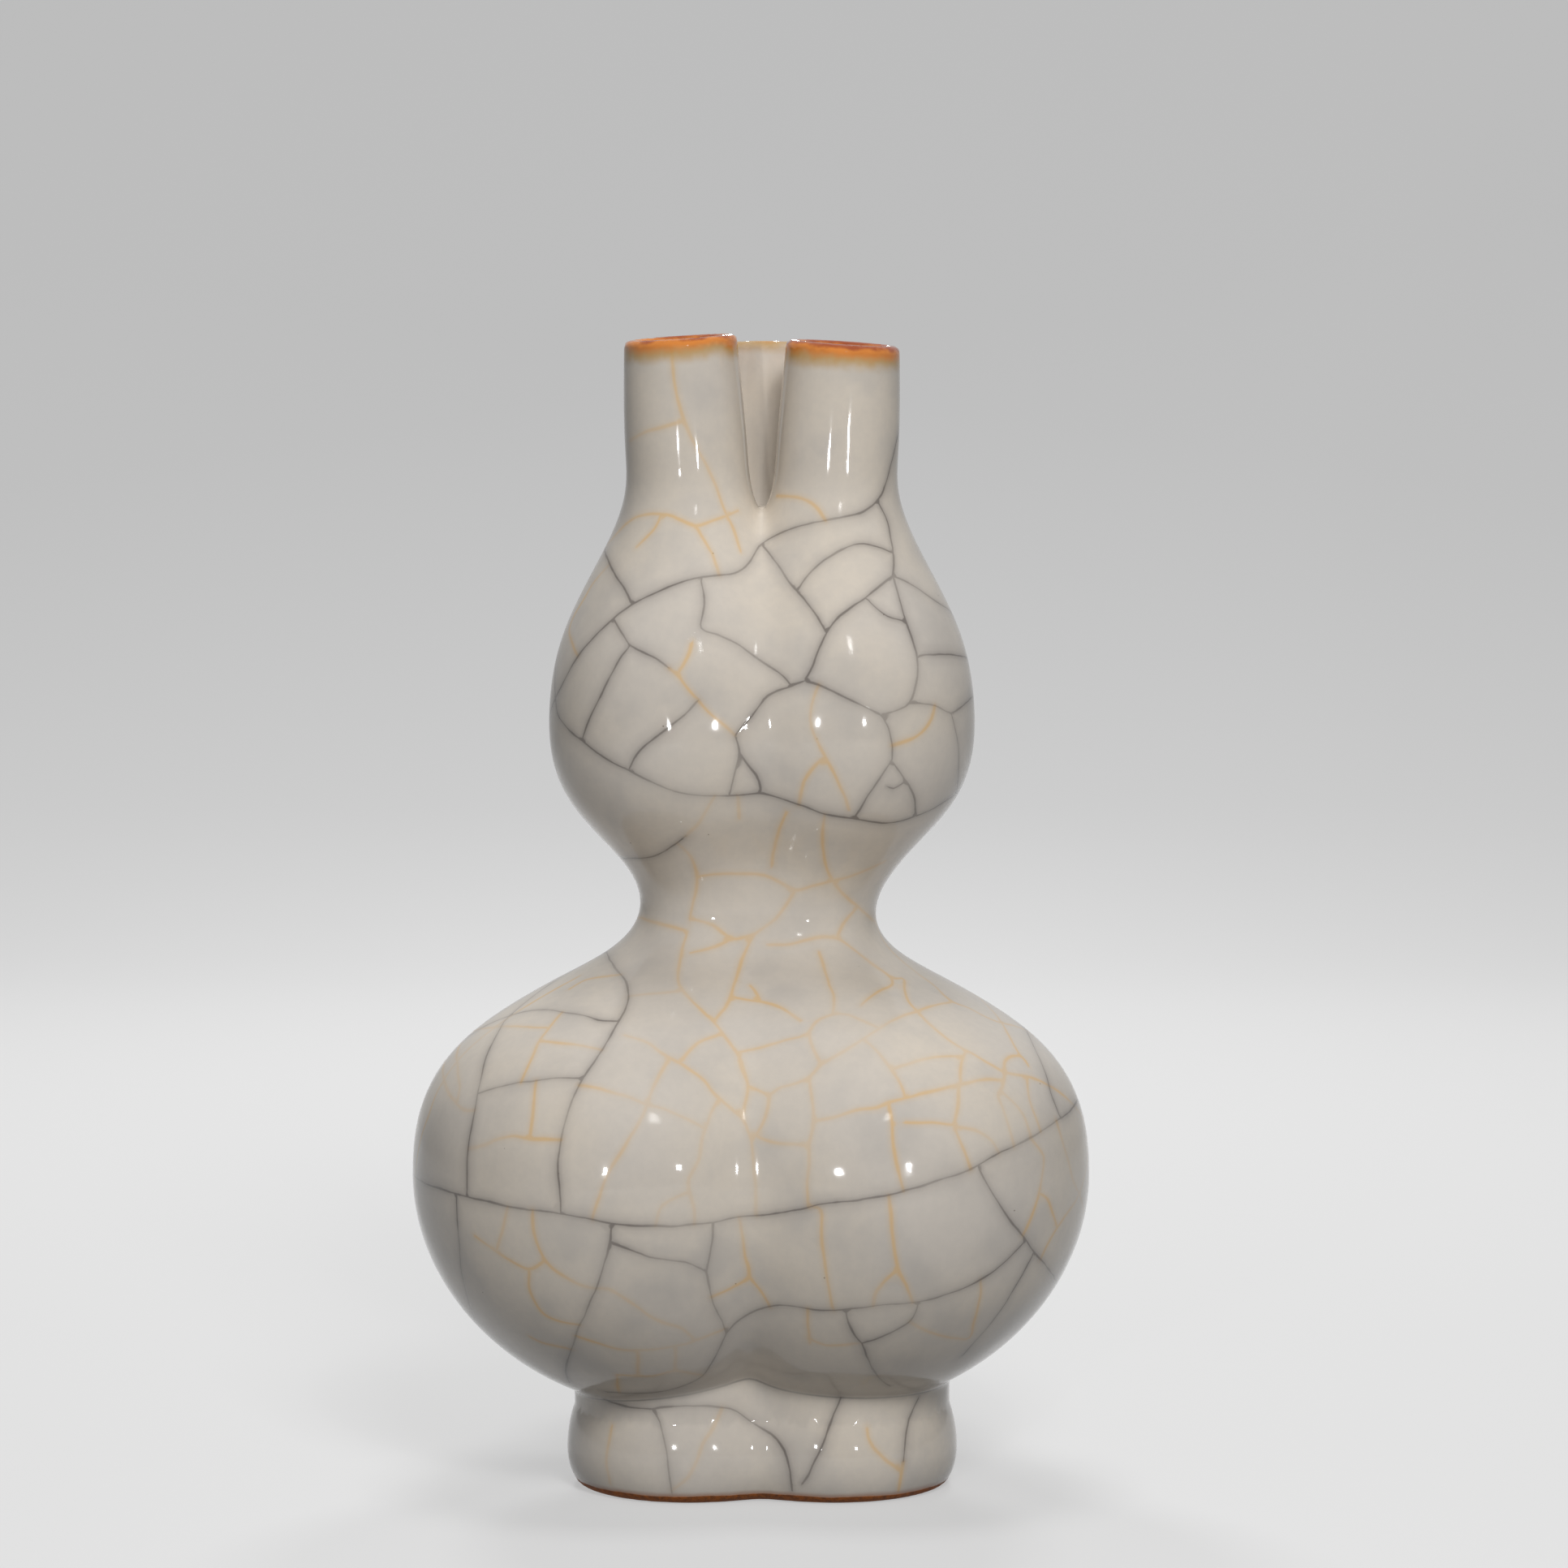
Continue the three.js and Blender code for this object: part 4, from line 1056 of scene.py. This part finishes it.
# Points of the mesh this close beside a line are moved onto it. Its two sides are told apart only near
# it, and the cut runs a little past its end.
SNAP = 0.24
SNAP_GAP = SNAP + 0.06
NEAR = 2.5
PAST_END = 0.35

# A line's nearest point is looked for among every fourth of them first, for a batch of spots at once
COARSE = 4
BATCH = 4000


class Line:
    """A line on the skin with its directions along and aside."""

    def __init__(self, points, outward):
        self.points = points
        self.along = unit(np.gradient(points, axis=0))
        self.aside = unit(np.cross(self.along, outward))
        self.low = points.min(0)
        self.high = points.max(0)

    def beside(self, spots):
        """How far spots are aside from the line, from the line within its ends and from its nearest
        point, and the number of that point."""
        coarse = self.points[::COARSE]
        rough = np.empty(len(spots), int)
        for start in range(0, len(spots), BATCH):
            some = slice(start, start + BATCH)
            rough[some] = ((spots[some, None, :] - coarse[None]) ** 2).sum(2).argmin(1) * COARSE
        last = len(self.points) - 1
        around = np.clip(rough[:, None] + np.arange(-COARSE, COARSE + 1), 0, last)
        gaps = ((spots[:, None, :] - self.points[around]) ** 2).sum(2)
        index = around[np.arange(len(spots)), gaps.argmin(1)]
        away = spots - self.points[index]
        aside = (away * self.aside[index]).sum(1)
        ahead = (away * self.along[index]).sum(1)
        beyond = np.where(index == 0, -ahead, np.where(index == last, ahead, 0)).clip(0)
        return aside, np.hypot(aside, beyond), np.sqrt(gaps.min(1)), index


def within(points, line, reach):
    """Which points lie in the box about a line, a reach larger than the line."""
    return ((points > line.low - reach) & (points < line.high + reach)).all(1)


class Skin:
    """The mesh of the vase while the lines of the crackle are cut into it."""

    def __init__(self, points, faces):
        self.points, self.faces = points, faces
        self.fixed = np.zeros(len(points), bool)

    def cut(self, line):
        """Puts edges of the mesh along the line."""
        touched = within(self.points, line, NEAR)[self.faces].any(1)
        faces = self.faces[touched]
        corners = np.unique(faces)
        aside, _, gap, index = line.beside(self.points[corners])
        value = np.full(len(self.points), np.nan)
        value[corners] = np.where(gap < NEAR, aside, np.nan)
        close = (gap < SNAP_GAP) & (np.abs(aside) < SNAP)
        loose = close & ~self.fixed[corners]
        self.points[corners[loose]] -= line.aside[index[loose]] * aside[loose, None]
        self.fixed[corners[close]] = True
        value[corners[close]] = 0
        edges, sides = edges_of(faces)
        first, second = value[edges[:, 0]], value[edges[:, 1]]
        crossed = np.flatnonzero(first * second < 0)
        if not len(crossed):
            return
        start, end = self.points[edges[crossed].T]
        spots = crossing(start, end, first[crossed], second[crossed])
        off, _, gap, index = line.beside(spots)
        met = gap < PAST_END
        spots = spots[met] - line.aside[index[met]] * off[met, None]
        number = np.full(len(edges), -1)
        number[crossed[met]] = len(self.points) + np.arange(met.sum())
        self.points = np.concatenate([self.points, spots])
        self.fixed = np.concatenate([self.fixed, np.ones(len(spots), bool)])
        self.faces = np.concatenate([self.faces[~touched], split_faces(faces, number[sides])])


def nearness(points, lines, reach):
    """How far each point is from the nearest of the lines, up to a reach."""
    found = np.full(len(points), reach)
    for line in lines:
        inside = np.flatnonzero(within(points, line, reach))
        _, away, gap, _ = line.beside(points[inside])
        found[inside] = np.minimum(found[inside], np.where(gap < reach, away, reach))
    return found


# Pieces


def new_object(name, points, faces):
    """An object in metres of points in millimetres."""
    mesh = bpy.data.meshes.new(name)
    mesh.from_pydata((np.asarray(points) * METRES).tolist(), [], [list(face) for face in faces])
    return linked(name, mesh)


def linked(name, data):
    thing = bpy.data.objects.new(name, data)
    bpy.context.scene.collection.objects.link(thing)
    return thing


def loft(name, rings):
    """A closed solid through rings of as many corners each, from the lowest up."""
    sides = len(rings[0])
    faces = [list(range(sides))[::-1]]
    for first in range(0, (len(rings) - 1) * sides, sides):
        for i in range(sides):
            j = (i + 1) % sides
            faces.append([first + i, first + j, first + j + sides, first + i + sides])
    faces.append([(len(rings) - 1) * sides + i for i in range(sides)])
    return new_object(name, [corner for ring in rings for corner in ring], faces)


FAR = 150.0
FAR_CORNERS = ((-FAR, -FAR), (FAR, -FAR), (FAR, FAR), (-FAR, FAR))
SHIFT_STEPS = 13


def slab(low, high):
    return loft("slab", [[(x, y, z) for x, y in FAR_CORNERS] for z in (low, high)])


def wedge(angle):
    """The third of the space that belongs to one gourd, about the middle that shifts at the waist."""
    rings = []
    for z in (-FAR, *np.linspace(SHOULDER_HEIGHT, COLLAR_HEIGHT, SHIFT_STEPS), 2 * FAR):
        x = MIDDLE_X + float(middle_shift(z))
        ring = [(x, MIDDLE_Y, z)]
        for turn in (angle - math.pi / 3, angle, angle + math.pi / 3):
            ring.append((x + FAR * math.cos(turn), MIDDLE_Y + FAR * math.sin(turn), z))
        rings.append(ring)
    return loft("wedge", rings)


def above_lip(angle, raised):
    """The space above the lower edge of one mouth's dressed lip."""
    along = (math.cos(angle), math.sin(angle))
    low, high = [], []
    for across, outward in FAR_CORNERS:
        x = MIDDLE_X + along[0] * (MOUTH_SPREAD + outward) + along[1] * across
        y = MIDDLE_Y + along[1] * (MOUTH_SPREAD + outward) - along[0] * across
        low.append((x, y, MOUTH_HEIGHT + raised - LIP_HEIGHT - MOUTH_TILT * outward))
        high.append((x, y, 2 * FAR))
    return loft("above_lip", [low, high])


def carved(piece, cutter, operation, name):
    """A new object: the piece cut by, or kept within, the cutter."""
    cut = piece.modifiers.new("cut", "BOOLEAN")
    cut.operation = operation
    cut.object = cutter
    cut.solver = "MANIFOLD"
    depsgraph = bpy.context.evaluated_depsgraph_get()
    mesh = bpy.data.meshes.new_from_object(
        piece.evaluated_get(depsgraph), preserve_all_data_layers=True, depsgraph=depsgraph)
    piece.modifiers.remove(cut)
    return linked(name, mesh)


def split(piece, cutter, inside, outside):
    """The part of a piece within the cutter, and the rest of it."""
    return carved(piece, cutter, "INTERSECT", inside), carved(piece, cutter, "DIFFERENCE", outside)


def drop(*things):
    for thing in things:
        bpy.data.objects.remove(thing)


SEAM_RISE = 0.36
BULB_FORM_TOP = 44.0
BULB_FORM_LAP = 2.0
BULB_FORM_ROUNDING = 0.1
BULB_FORM_LOW = np.array([-70.0, -66.0, BULB_BOTTOM - 4])
BULB_FORM_HIGH = np.array([72.0, 66.0, BULB_FORM_TOP + 3])
FLOOR_RADIUS = FOOT_WIDEST_RADIUS - FOOT_WALL + 0.6
FLOOR_RING = (180, 60)
FLOOR_FORM_ENDS = (-5, BULB_FORM_TOP)


def bulb_form_distance(x, y, z):
    return rounded_cut(bulb_distance(x, y, z) - SEAM_RISE, z - BULB_FORM_TOP, BULB_FORM_ROUNDING)


def bulb_form():
    """The space of the lower bulbs, down to the seam round the top of the foot."""
    low_part = new_object("low_form", *surface_net(BULB_FORM_LOW, BULB_FORM_HIGH, bulb_form_distance))
    high_part = slab(BULB_FORM_TOP - BULB_FORM_LAP, WAIST_HEIGHT)
    whole = carved(low_part, high_part, "UNION", "bulb_form")
    drop(low_part, high_part)
    return whole


def cut_to_pieces(body):
    """The body cut where the real sections are luted, one solid for each CAD node."""
    found = {}
    below_waist = slab(-FAR, WAIST_HEIGHT)
    low, high = split(body, below_waist, "low", "high")
    form = bulb_form()
    bulbs, foot = split(low, form, "bulbs", "foot")
    below_neck = slab(-FAR, NECK_ROOT_HEIGHT)
    uppers, tubes = split(high, below_neck, "uppers", "tubes")
    for name, angle, raised in GOURDS:
        third = wedge(angle)
        for kind, whole in (("_lower_bulb", bulbs), ("_upper_bulb", uppers)):
            found[name + kind] = carved(whole, third, "INTERSECT", name + kind)
        tube = carved(tubes, third, "INTERSECT", "tube")
        lip_space = above_lip(angle, raised)
        lip, neck = split(tube, lip_space, name + "_mouth_lip", name + "_neck")
        found[name + "_mouth_lip"], found[name + "_neck"] = lip, neck
        drop(third, tube, lip_space)
    below_rim = slab(-FAR, FOOT_RIM_HEIGHT)
    rim, upper_foot = split(foot, below_rim, "foot_rim", "upper_foot")
    ring = lobed_ring(FLOOR_RADIUS, *FLOOR_RING)
    floor_prism = loft("lobed_prism", [[(x, y, z) for x, y in ring] for z in FLOOR_FORM_ENDS])
    plate, wall = split(upper_foot, floor_prism, "foot_floor", "foot_wall")
    found.update(foot_rim=rim, foot_wall=wall, foot_floor=plate)
    drop(below_waist, low, high, form, bulbs, foot, below_neck, uppers, tubes, below_rim)
    drop(upper_foot, floor_prism)
    return found


def read(items, name, kind=float, width=1):
    """One value, or a few in a row, of every item of a mesh."""
    found = np.empty(len(items) * width, kind)
    items.foreach_get(name, found)
    return found.reshape(-1, width)


def points_of(piece):
    return read(piece.data.vertices, "co", width=3) / METRES


def smooth_shading(piece):
    """The skin's own normals on the skin, and flat normals on the hidden cut faces."""
    mesh = piece.data
    corners = read(mesh.loops, "vertex_index", int)[:, 0]
    counts = read(mesh.polygons, "loop_total", int)[:, 0]
    outside = read(mesh.attributes["skin"].data, "value", int) > 0
    own = unit(gradient_at(points_of(piece)))[corners]
    flat = read(mesh.polygons, "normal", width=3)
    normals = np.where(np.repeat(outside, counts, axis=0), own, np.repeat(flat, counts, axis=0))
    mesh.shade_smooth()
    mesh.normals_split_custom_set(normals.tolist())


DARK_REACH = 3.2
GOLDEN_REACH = 2.0
MOUTH_REACH = 20.0
CRACKLE_SEED = 11

# Millimetres added to the distance below a mouth, where its brown is paler
MOUTH_PALER = {"left": 0.5, "right": 0.0, "rear": 2.6}


def crackled(points, faces):
    """The skin with both crackles cut into it, and the lines of each."""
    random = np.random.default_rng(CRACKLE_SEED)
    dark, golden = traced(DARK_LINES, random), traced(GOLDEN_LINES, random)
    for more_dark, more_golden in (
            back_crackle(random), ([], neck_crackle(random)), foot_crackle(random)):
        dark += more_dark
        golden += more_golden
    places = joined(dark + golden)
    outward = apart(unit(gradient_at(np.concatenate(places))), places)
    lines = [Line(line, facing) for line, facing in zip(places, outward)]
    skin = Skin(points, faces)
    for line in lines:
        skin.cut(line)
    skin.points[skin.fixed] = settle(skin.points[skin.fixed], 2)
    return skin.points, skin.faces, lines[:len(dark)], lines[len(dark):]


def measured(piece):
    """How far each point of a piece is from the crease, the crackle's lines and the nearest mouth."""
    points = points_of(piece)
    paler = MOUTH_PALER.get(piece.name.split("_")[0], 0)
    low = points[:, 2] < CREASE_REACH
    for name, values in (
            ("from_crease", np.where(low, np.abs(beside_crease(points)), CREASE_REACH)),
            ("from_dark", nearness(points, dark_lines, DARK_REACH)),
            ("from_golden", nearness(points, golden_lines, GOLDEN_REACH)),
            ("under_mouth", np.clip(-above_mouths(*points.T).max(0), 0, MOUTH_REACH) + paler)):
        piece.data.attributes.new(name, "FLOAT", "POINT").data.foreach_set("value", values)


body_points, body_faces, dark_lines, golden_lines = crackled(*skin_mesh())
body = new_object("body", body_points, body_faces)
body.data.attributes.new("skin", "INT", "FACE").data.foreach_set("value", [1] * len(body_faces))
pieces = cut_to_pieces(body)
drop(body)

# Finishes


class Nodes:
    """Short ways to build a material from nodes."""

    def __init__(self, name):
        self.material = bpy.data.materials.new(name)
        self.material.use_nodes = True
        self.tree = self.material.node_tree
        self.shader = self.tree.nodes["Principled BSDF"]
        self.place = self.add("ShaderNodeTexCoord").outputs["Object"]

    def add(self, kind, **settings):
        node = self.tree.nodes.new(kind)
        for name, value in settings.items():
            setattr(node, name, value)
        return node

    def put(self, socket, value):
        if isinstance(value, bpy.types.NodeSocket):
            self.tree.links.new(value, socket)
        else:
            socket.default_value = value

    def put_all(self, node, values):
        for name, value in values.items():
            self.put(node.inputs[name], value)

    def math(self, operation, *values):
        node = self.add("ShaderNodeMath", operation=operation)
        for socket, value in zip(node.inputs, values):
            self.put(socket, value)
        return node.outputs[0]

    def plus(self, first, second):
        return self.math("ADD", first, second)

    def times(self, first, second):
        return self.math("MULTIPLY", first, second)

    def ramp(self, value, start, end, low=0.0, high=1.0):
        node = self.add("ShaderNodeMapRange", interpolation_type="SMOOTHSTEP")
        for socket, number in zip(node.inputs, (value, start, end, low, high)):
            self.put(socket, number)
        return node.outputs["Result"]

    def noise(self, size, detail, rough=0.5):
        """Noise whose patches are about a size in millimetres."""
        node = self.add("ShaderNodeTexNoise")
        scale = 1 / (size * METRES)
        self.put_all(node, {"Vector": self.place, "Scale": scale, "Detail": detail, "Roughness": rough})
        return node.outputs["Fac"]

    def patches(self, size, detail, start, end, low=0.0, high=1.0, rough=0.5):
        """A value that goes from low to high where the noise goes from start to end."""
        return self.ramp(self.noise(size, detail, rough), start, end, low, high)

    def spots(self, size):
        """How far a point is from the nearest of some scattered spots, as a share of their spacing."""
        node = self.add("ShaderNodeTexVoronoi")
        self.put_all(node, {"Vector": self.place, "Scale": 1 / (size * METRES)})
        return node.outputs["Distance"]

    def mix(self, share, first, second):
        node = self.add("ShaderNodeMix", data_type="RGBA")
        self.put(node.inputs["Factor"], share)
        for socket, colour in ((node.inputs["A"], first), (node.inputs["B"], second)):
            self.put(socket, colour if isinstance(colour, bpy.types.NodeSocket) else (*colour, 1))
        return node.outputs["Result"]

    def layers(self, colour, distance, layers, strength=None):
        """Colours laid one over another, each full up to its start and gone from its end."""
        for start, end, most, shade in layers:
            share = self.ramp(distance, start, end, most, 0)
            if strength is not None:
                share = self.times(share, strength)
            colour = self.mix(share, colour, shade)
        return colour

    def measure(self, name):
        return self.add("ShaderNodeAttribute", attribute_name=name).outputs["Fac"]


def linear(red, green, blue):
    """A colour as the renderer counts it, from screen values up to 255."""
    return tuple(((c / 255 + 0.055) / 1.055) ** 2.4 for c in (red, green, blue))


GLAZE = linear(205, 197, 187)
GLAZE_WARM = linear(211, 201, 187)
GLAZE_GREY = linear(186, 180, 173)
NEAR_DARK = linear(152, 144, 139)
DARK_CORE = linear(78, 70, 65)
GOLDEN_CORE = linear(217, 177, 115)
MOUTH_TOP = linear(152, 70, 40)
MOUTH_MIDDLE = linear(214, 128, 50)
MOUTH_EDGE = linear(188, 148, 82)
CLAY = linear(158, 88, 30)
CLAY_DARK = linear(108, 58, 18)
SPECK = linear(96, 78, 62)

# Layers of colour: the distances in millimetres where each starts to fade and is gone, its most
# strength and its colour
GOLDEN_LAYERS = ((0.1, 1.5, 0.2, GOLDEN_CORE), (0.04, 0.6, 0.55, GOLDEN_CORE))
DARK_LAYERS = ((0.0, 3.0, 0.36, NEAR_DARK), (0.05, 1.1, 0.24, DARK_CORE), (0.05, 0.3, 0.62, DARK_CORE))
# A thin dark line along the crease between the bulbs and the foot is painted shade, darkening the crease
# where shade falls
CREASE_SHADE_LAYERS = ((0.02, 0.34, 0.5, DARK_CORE),)
MOUTH_LAYERS = ((2.4, 5.2, 0.85, MOUTH_EDGE), (1.2, 3.1, 0.95, MOUTH_MIDDLE), (0.2, 1.0, 0.9, MOUTH_TOP))
BARE_LAYERS = ((1.6, 2.7, 0.6, CLAY),)

# Patches of noise: size in millimetres, detail, the stretch of the noise that counts, and the values
# at its start and end
WARM_PATCHES = (34, 3, 0.35, 0.65)
GREY_PATCHES = (13, 4, 0.45, 0.75, 0, 0.6)
FINE_PATCHES = (1.6, 3, 0.3, 0.7, 0, 0.16, 0.6)
CLAY_PATCHES = (1.2, 4, 0.35, 0.65, 0, 1, 0.7)
GOLDEN_UNEVEN = (6, 3, 0.3, 0.7, -0.04, 0.1)
GOLDEN_STRENGTH = (26, 2, 0.38, 0.64, 0.35, 1.1)
DARK_UNEVEN = (4, 3, 0.3, 0.7, -0.05, 0.08)
DARK_STRENGTH = (19, 2, 0.38, 0.62, 0.5, 1)
MOUTH_UNEVEN = (6, 3, 0.3, 0.7, -0.5, 0.5)
BARE_UNEVEN = (12, 3, 0.2, 0.8, -0.3, 0.3)
GLOSS = (8, 3, 0.3, 0.7, 0.04, 0.08)

SPECK_SPACING = 8
SPECK_EDGE = (0.012, 0.024, 0.75, 0)
BARE_EDGE = (1.5, 1.8, 1, 0)
CLAY_ROUGHNESS = 0.75

# Relief in millimetres: the glaze's waves and ripple, the grooves of the dark lines and the grain of
# the bare clay
WAVE_SIZE, WAVE_HEIGHT = 14, 0.35
RIPPLE_SIZE, RIPPLE_HEIGHT = 2.2, 0.012
GROOVE = (0.0, 0.35, -0.008, 0)
GRAIN_SIZE, GRAIN_HEIGHT = 0.5, 0.12


def glaze_colour(nodes):
    """Pale warm grey, warmer inside the cells, with a few small iron specks."""
    colour = nodes.mix(nodes.patches(*WARM_PATCHES), GLAZE, GLAZE_WARM)
    colour = nodes.mix(nodes.patches(*GREY_PATCHES), colour, GLAZE_GREY)
    colour = nodes.mix(nodes.patches(*FINE_PATCHES), colour, GLAZE_GREY)
    return nodes.mix(nodes.ramp(nodes.spots(SPECK_SPACING), *SPECK_EDGE), colour, SPECK)


def with_crackle(nodes, colour):
    """The golden lines, the dark ones over them with their soft edges, and painted crease shade."""
    golden = nodes.plus(nodes.measure("from_golden"), nodes.patches(*GOLDEN_UNEVEN))
    colour = nodes.layers(colour, golden, GOLDEN_LAYERS, nodes.patches(*GOLDEN_STRENGTH))
    dark = nodes.plus(nodes.measure("from_dark"), nodes.patches(*DARK_UNEVEN))
    strength = nodes.patches(*DARK_STRENGTH)
    colour = nodes.layers(colour, dark, DARK_LAYERS, strength)
    return nodes.layers(colour, nodes.measure("from_crease"), CREASE_SHADE_LAYERS, strength)


def with_mouth(nodes, colour):
    """Brown over the mouth's edge, where the glaze ran thin."""
    under = nodes.plus(nodes.measure("under_mouth"), nodes.patches(*MOUTH_UNEVEN))
    return nodes.layers(colour, under, MOUTH_LAYERS)


def with_bare_edge(nodes, colour):
    """The glaze stops in an uneven line above the bare rim of the foot."""
    place = nodes.add("ShaderNodeSeparateXYZ")
    nodes.put(place.inputs[0], nodes.place)
    height = nodes.plus(nodes.math("DIVIDE", place.outputs["Z"], METRES), nodes.patches(*BARE_UNEVEN))
    bare = nodes.ramp(height, *BARE_EDGE)
    colour = nodes.layers(colour, height, BARE_LAYERS)
    return nodes.mix(bare, colour, nodes.mix(nodes.patches(*CLAY_PATCHES), CLAY, CLAY_DARK)), bare


def relief(nodes, bare):
    """The waves of the glaze, the grooves of the dark lines and the grain of the bare clay."""
    waves = nodes.times(nodes.noise(WAVE_SIZE, 1), WAVE_HEIGHT)
    ripple = nodes.times(nodes.noise(RIPPLE_SIZE, 1), RIPPLE_HEIGHT)
    groove = nodes.ramp(nodes.measure("from_dark"), *GROOVE)
    grain = nodes.times(nodes.times(nodes.noise(GRAIN_SIZE, 3), GRAIN_HEIGHT), bare)
    height = nodes.plus(nodes.plus(waves, ripple), nodes.plus(groove, grain))
    bump = nodes.add("ShaderNodeBump")
    nodes.put_all(bump, {"Strength": 1.0, "Distance": METRES, "Height": height})
    return bump.outputs["Normal"]


def fired_finish(name):
    """The one finish of the vase, which its measures turn into glaze, brown mouth or bare clay."""
    nodes = Nodes(name)
    colour, bare = with_bare_edge(nodes, with_mouth(nodes, with_crackle(nodes, glaze_colour(nodes))))
    rough = nodes.math("MAXIMUM", nodes.patches(*GLOSS), nodes.times(bare, CLAY_ROUGHNESS))
    normal = relief(nodes, bare)
    nodes.put_all(nodes.shader, {"Base Color": colour, "Roughness": rough, "Normal": normal})
    return nodes.material


FINISHES = {name: fired_finish(name) for name in ("crackled_glaze", "dressed_mouth", "bare_clay")}


def slot_of(node):
    if node.endswith("mouth_lip"):
        return "dressed_mouth"
    return "bare_clay" if node == "foot_rim" else "crackled_glaze"


for node, piece in pieces.items():
    slot = slot_of(node)
    piece.name = node + "_fired"
    piece.data.materials.clear()
    piece.data.materials.append(FINISHES[slot])
    measured(piece)
    smooth_shading(piece)
    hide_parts(node)
    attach(piece, "root")

# Floor, light and camera, in metres

BACKDROP_PLACE = 1.6
BACKDROP_BEND = 0.8
BACKDROP_HEIGHT = 3.0
BACKDROP_REACH = 6.0
STAGE_HALF_WIDTH = 4.0
STAGE_GREY = 0.3
STAGE_GLOW = 0.44
STAGE_BOUNCE = 0.1
STAGE_ROUGHNESS = 0.9
BEND_POINTS = 24


def seen_directly(tree):
    """1 for rays from the camera and for those that gloss or glass sends on, 0 for the rest."""
    path = tree.nodes.new("ShaderNodeLightPath")
    seen = path.outputs["Is Camera Ray"]
    for name in ("Is Glossy Ray", "Is Transmission Ray"):
        either = tree.nodes.new("ShaderNodeMath")
        either.operation = "MAXIMUM"
        tree.links.new(seen, either.inputs[0])
        tree.links.new(path.outputs[name], either.inputs[1])
        seen = either.outputs[0]
    return seen


def pale_paper():
    """Paper that looks pale but lights the vase little."""
    nodes = Nodes("pale_paper")
    seen = seen_directly(nodes.tree)
    shade = nodes.mix(seen, [STAGE_BOUNCE] * 3, [STAGE_GREY] * 3)
    nodes.put_all(nodes.shader, {
        "Base Color": shade, "Roughness": STAGE_ROUGHNESS, "Specular IOR Level": 0.0,
        "Emission Color": (*[STAGE_GLOW] * 3, 1), "Emission Strength": seen})
    return nodes.material


def backdrop():
    """A pale floor that bends up into a pale wall."""
    line = [(-BACKDROP_REACH, 0.0), (BACKDROP_PLACE - BACKDROP_BEND, 0.0)]
    for turn in np.linspace(0, math.pi / 2, BEND_POINTS)[1:]:
        line.append((BACKDROP_PLACE - BACKDROP_BEND + BACKDROP_BEND * math.sin(turn),
                     BACKDROP_BEND * (1 - math.cos(turn))))
    line.append((BACKDROP_PLACE, BACKDROP_HEIGHT))
    width = STAGE_HALF_WIDTH / METRES
    points = [(x, y / METRES, z / METRES) for y, z in line for x in (-width, width)]
    faces = [(i, i + 1, i + 3, i + 2) for i in range(0, len(points) - 2, 2)]
    sweep = new_object("backdrop", points, faces)
    sweep.data.shade_smooth()
    sweep.data.materials.append(pale_paper())


backdrop()

SKY_LIGHT = 0.08
SKY_SEEN = 0.45

world = bpy.data.worlds.new("studio")
bpy.context.scene.world = world
world.use_nodes = True
sky = world.node_tree.nodes["Background"]
sky.inputs["Color"].default_value = (1, 1, 1, 1)
sky_level = world.node_tree.nodes.new("ShaderNodeMapRange")
world.node_tree.links.new(seen_directly(world.node_tree), sky_level.inputs["Value"])
sky_level.inputs["To Min"].default_value = SKY_LIGHT
sky_level.inputs["To Max"].default_value = SKY_SEEN
world.node_tree.links.new(sky_level.outputs["Result"], sky.inputs["Strength"])

# Lamps: direction across and up in degrees, 0 being the camera's, width, height, power in watts, and
# whether the glaze mirrors them
LAMPS = (
    ("front_softbox", 12, 33, 0.3, 0.3, 5.0, False),
    ("top_softbox", 0, 88, 0.3, 0.3, 3.2, False),
    ("back_left_softbox", -160, 42, 0.22, 0.22, 3.6, False),
    ("back_right_softbox", 162, 42, 0.22, 0.22, 3.2, False),
    ("left_lamp", -14, 2, 0.03, 0.045, 1.2, True),
    ("right_lamp", 21, 2, 0.03, 0.045, 0.7, True),
    ("upper_lamp", 12, 33, 0.045, 0.1, 0.8, True),
    ("back_lamp", 180, 14, 0.03, 0.045, 0.5, True),
)
LAMP_AIM = Vector((0.002, -0.006, 0.11))
LAMP_DISTANCE = 1.0


def lamp(name, across, up, width, height, power, mirrored):
    """A soft lamp that looks at the vase."""
    turn, rise = math.radians(across), math.radians(up)
    data = bpy.data.lights.new(name, "AREA")
    data.shape = "RECTANGLE"
    data.size, data.size_y = width, height
    data.energy = power
    thing = linked(name, data)
    away = Vector((math.sin(turn) * math.cos(rise), -math.cos(turn) * math.cos(rise), math.sin(rise)))
    thing.location = LAMP_AIM + LAMP_DISTANCE * away
    thing.rotation_euler = (LAMP_AIM - thing.location).to_track_quat("-Z", "Y").to_euler()
    thing.visible_glossy = mirrored


for settings in LAMPS:
    lamp(*settings)

camera = linked("camera", bpy.data.cameras.new("camera"))
camera.location = EYE * METRES
camera.rotation_euler = (math.pi / 2 - LOOK_DOWN, 0, 0)
camera.data.sensor_width = SENSOR
camera.data.lens = LENS
bpy.context.scene.camera = camera

bpy.context.scene.view_settings.view_transform = "Standard"
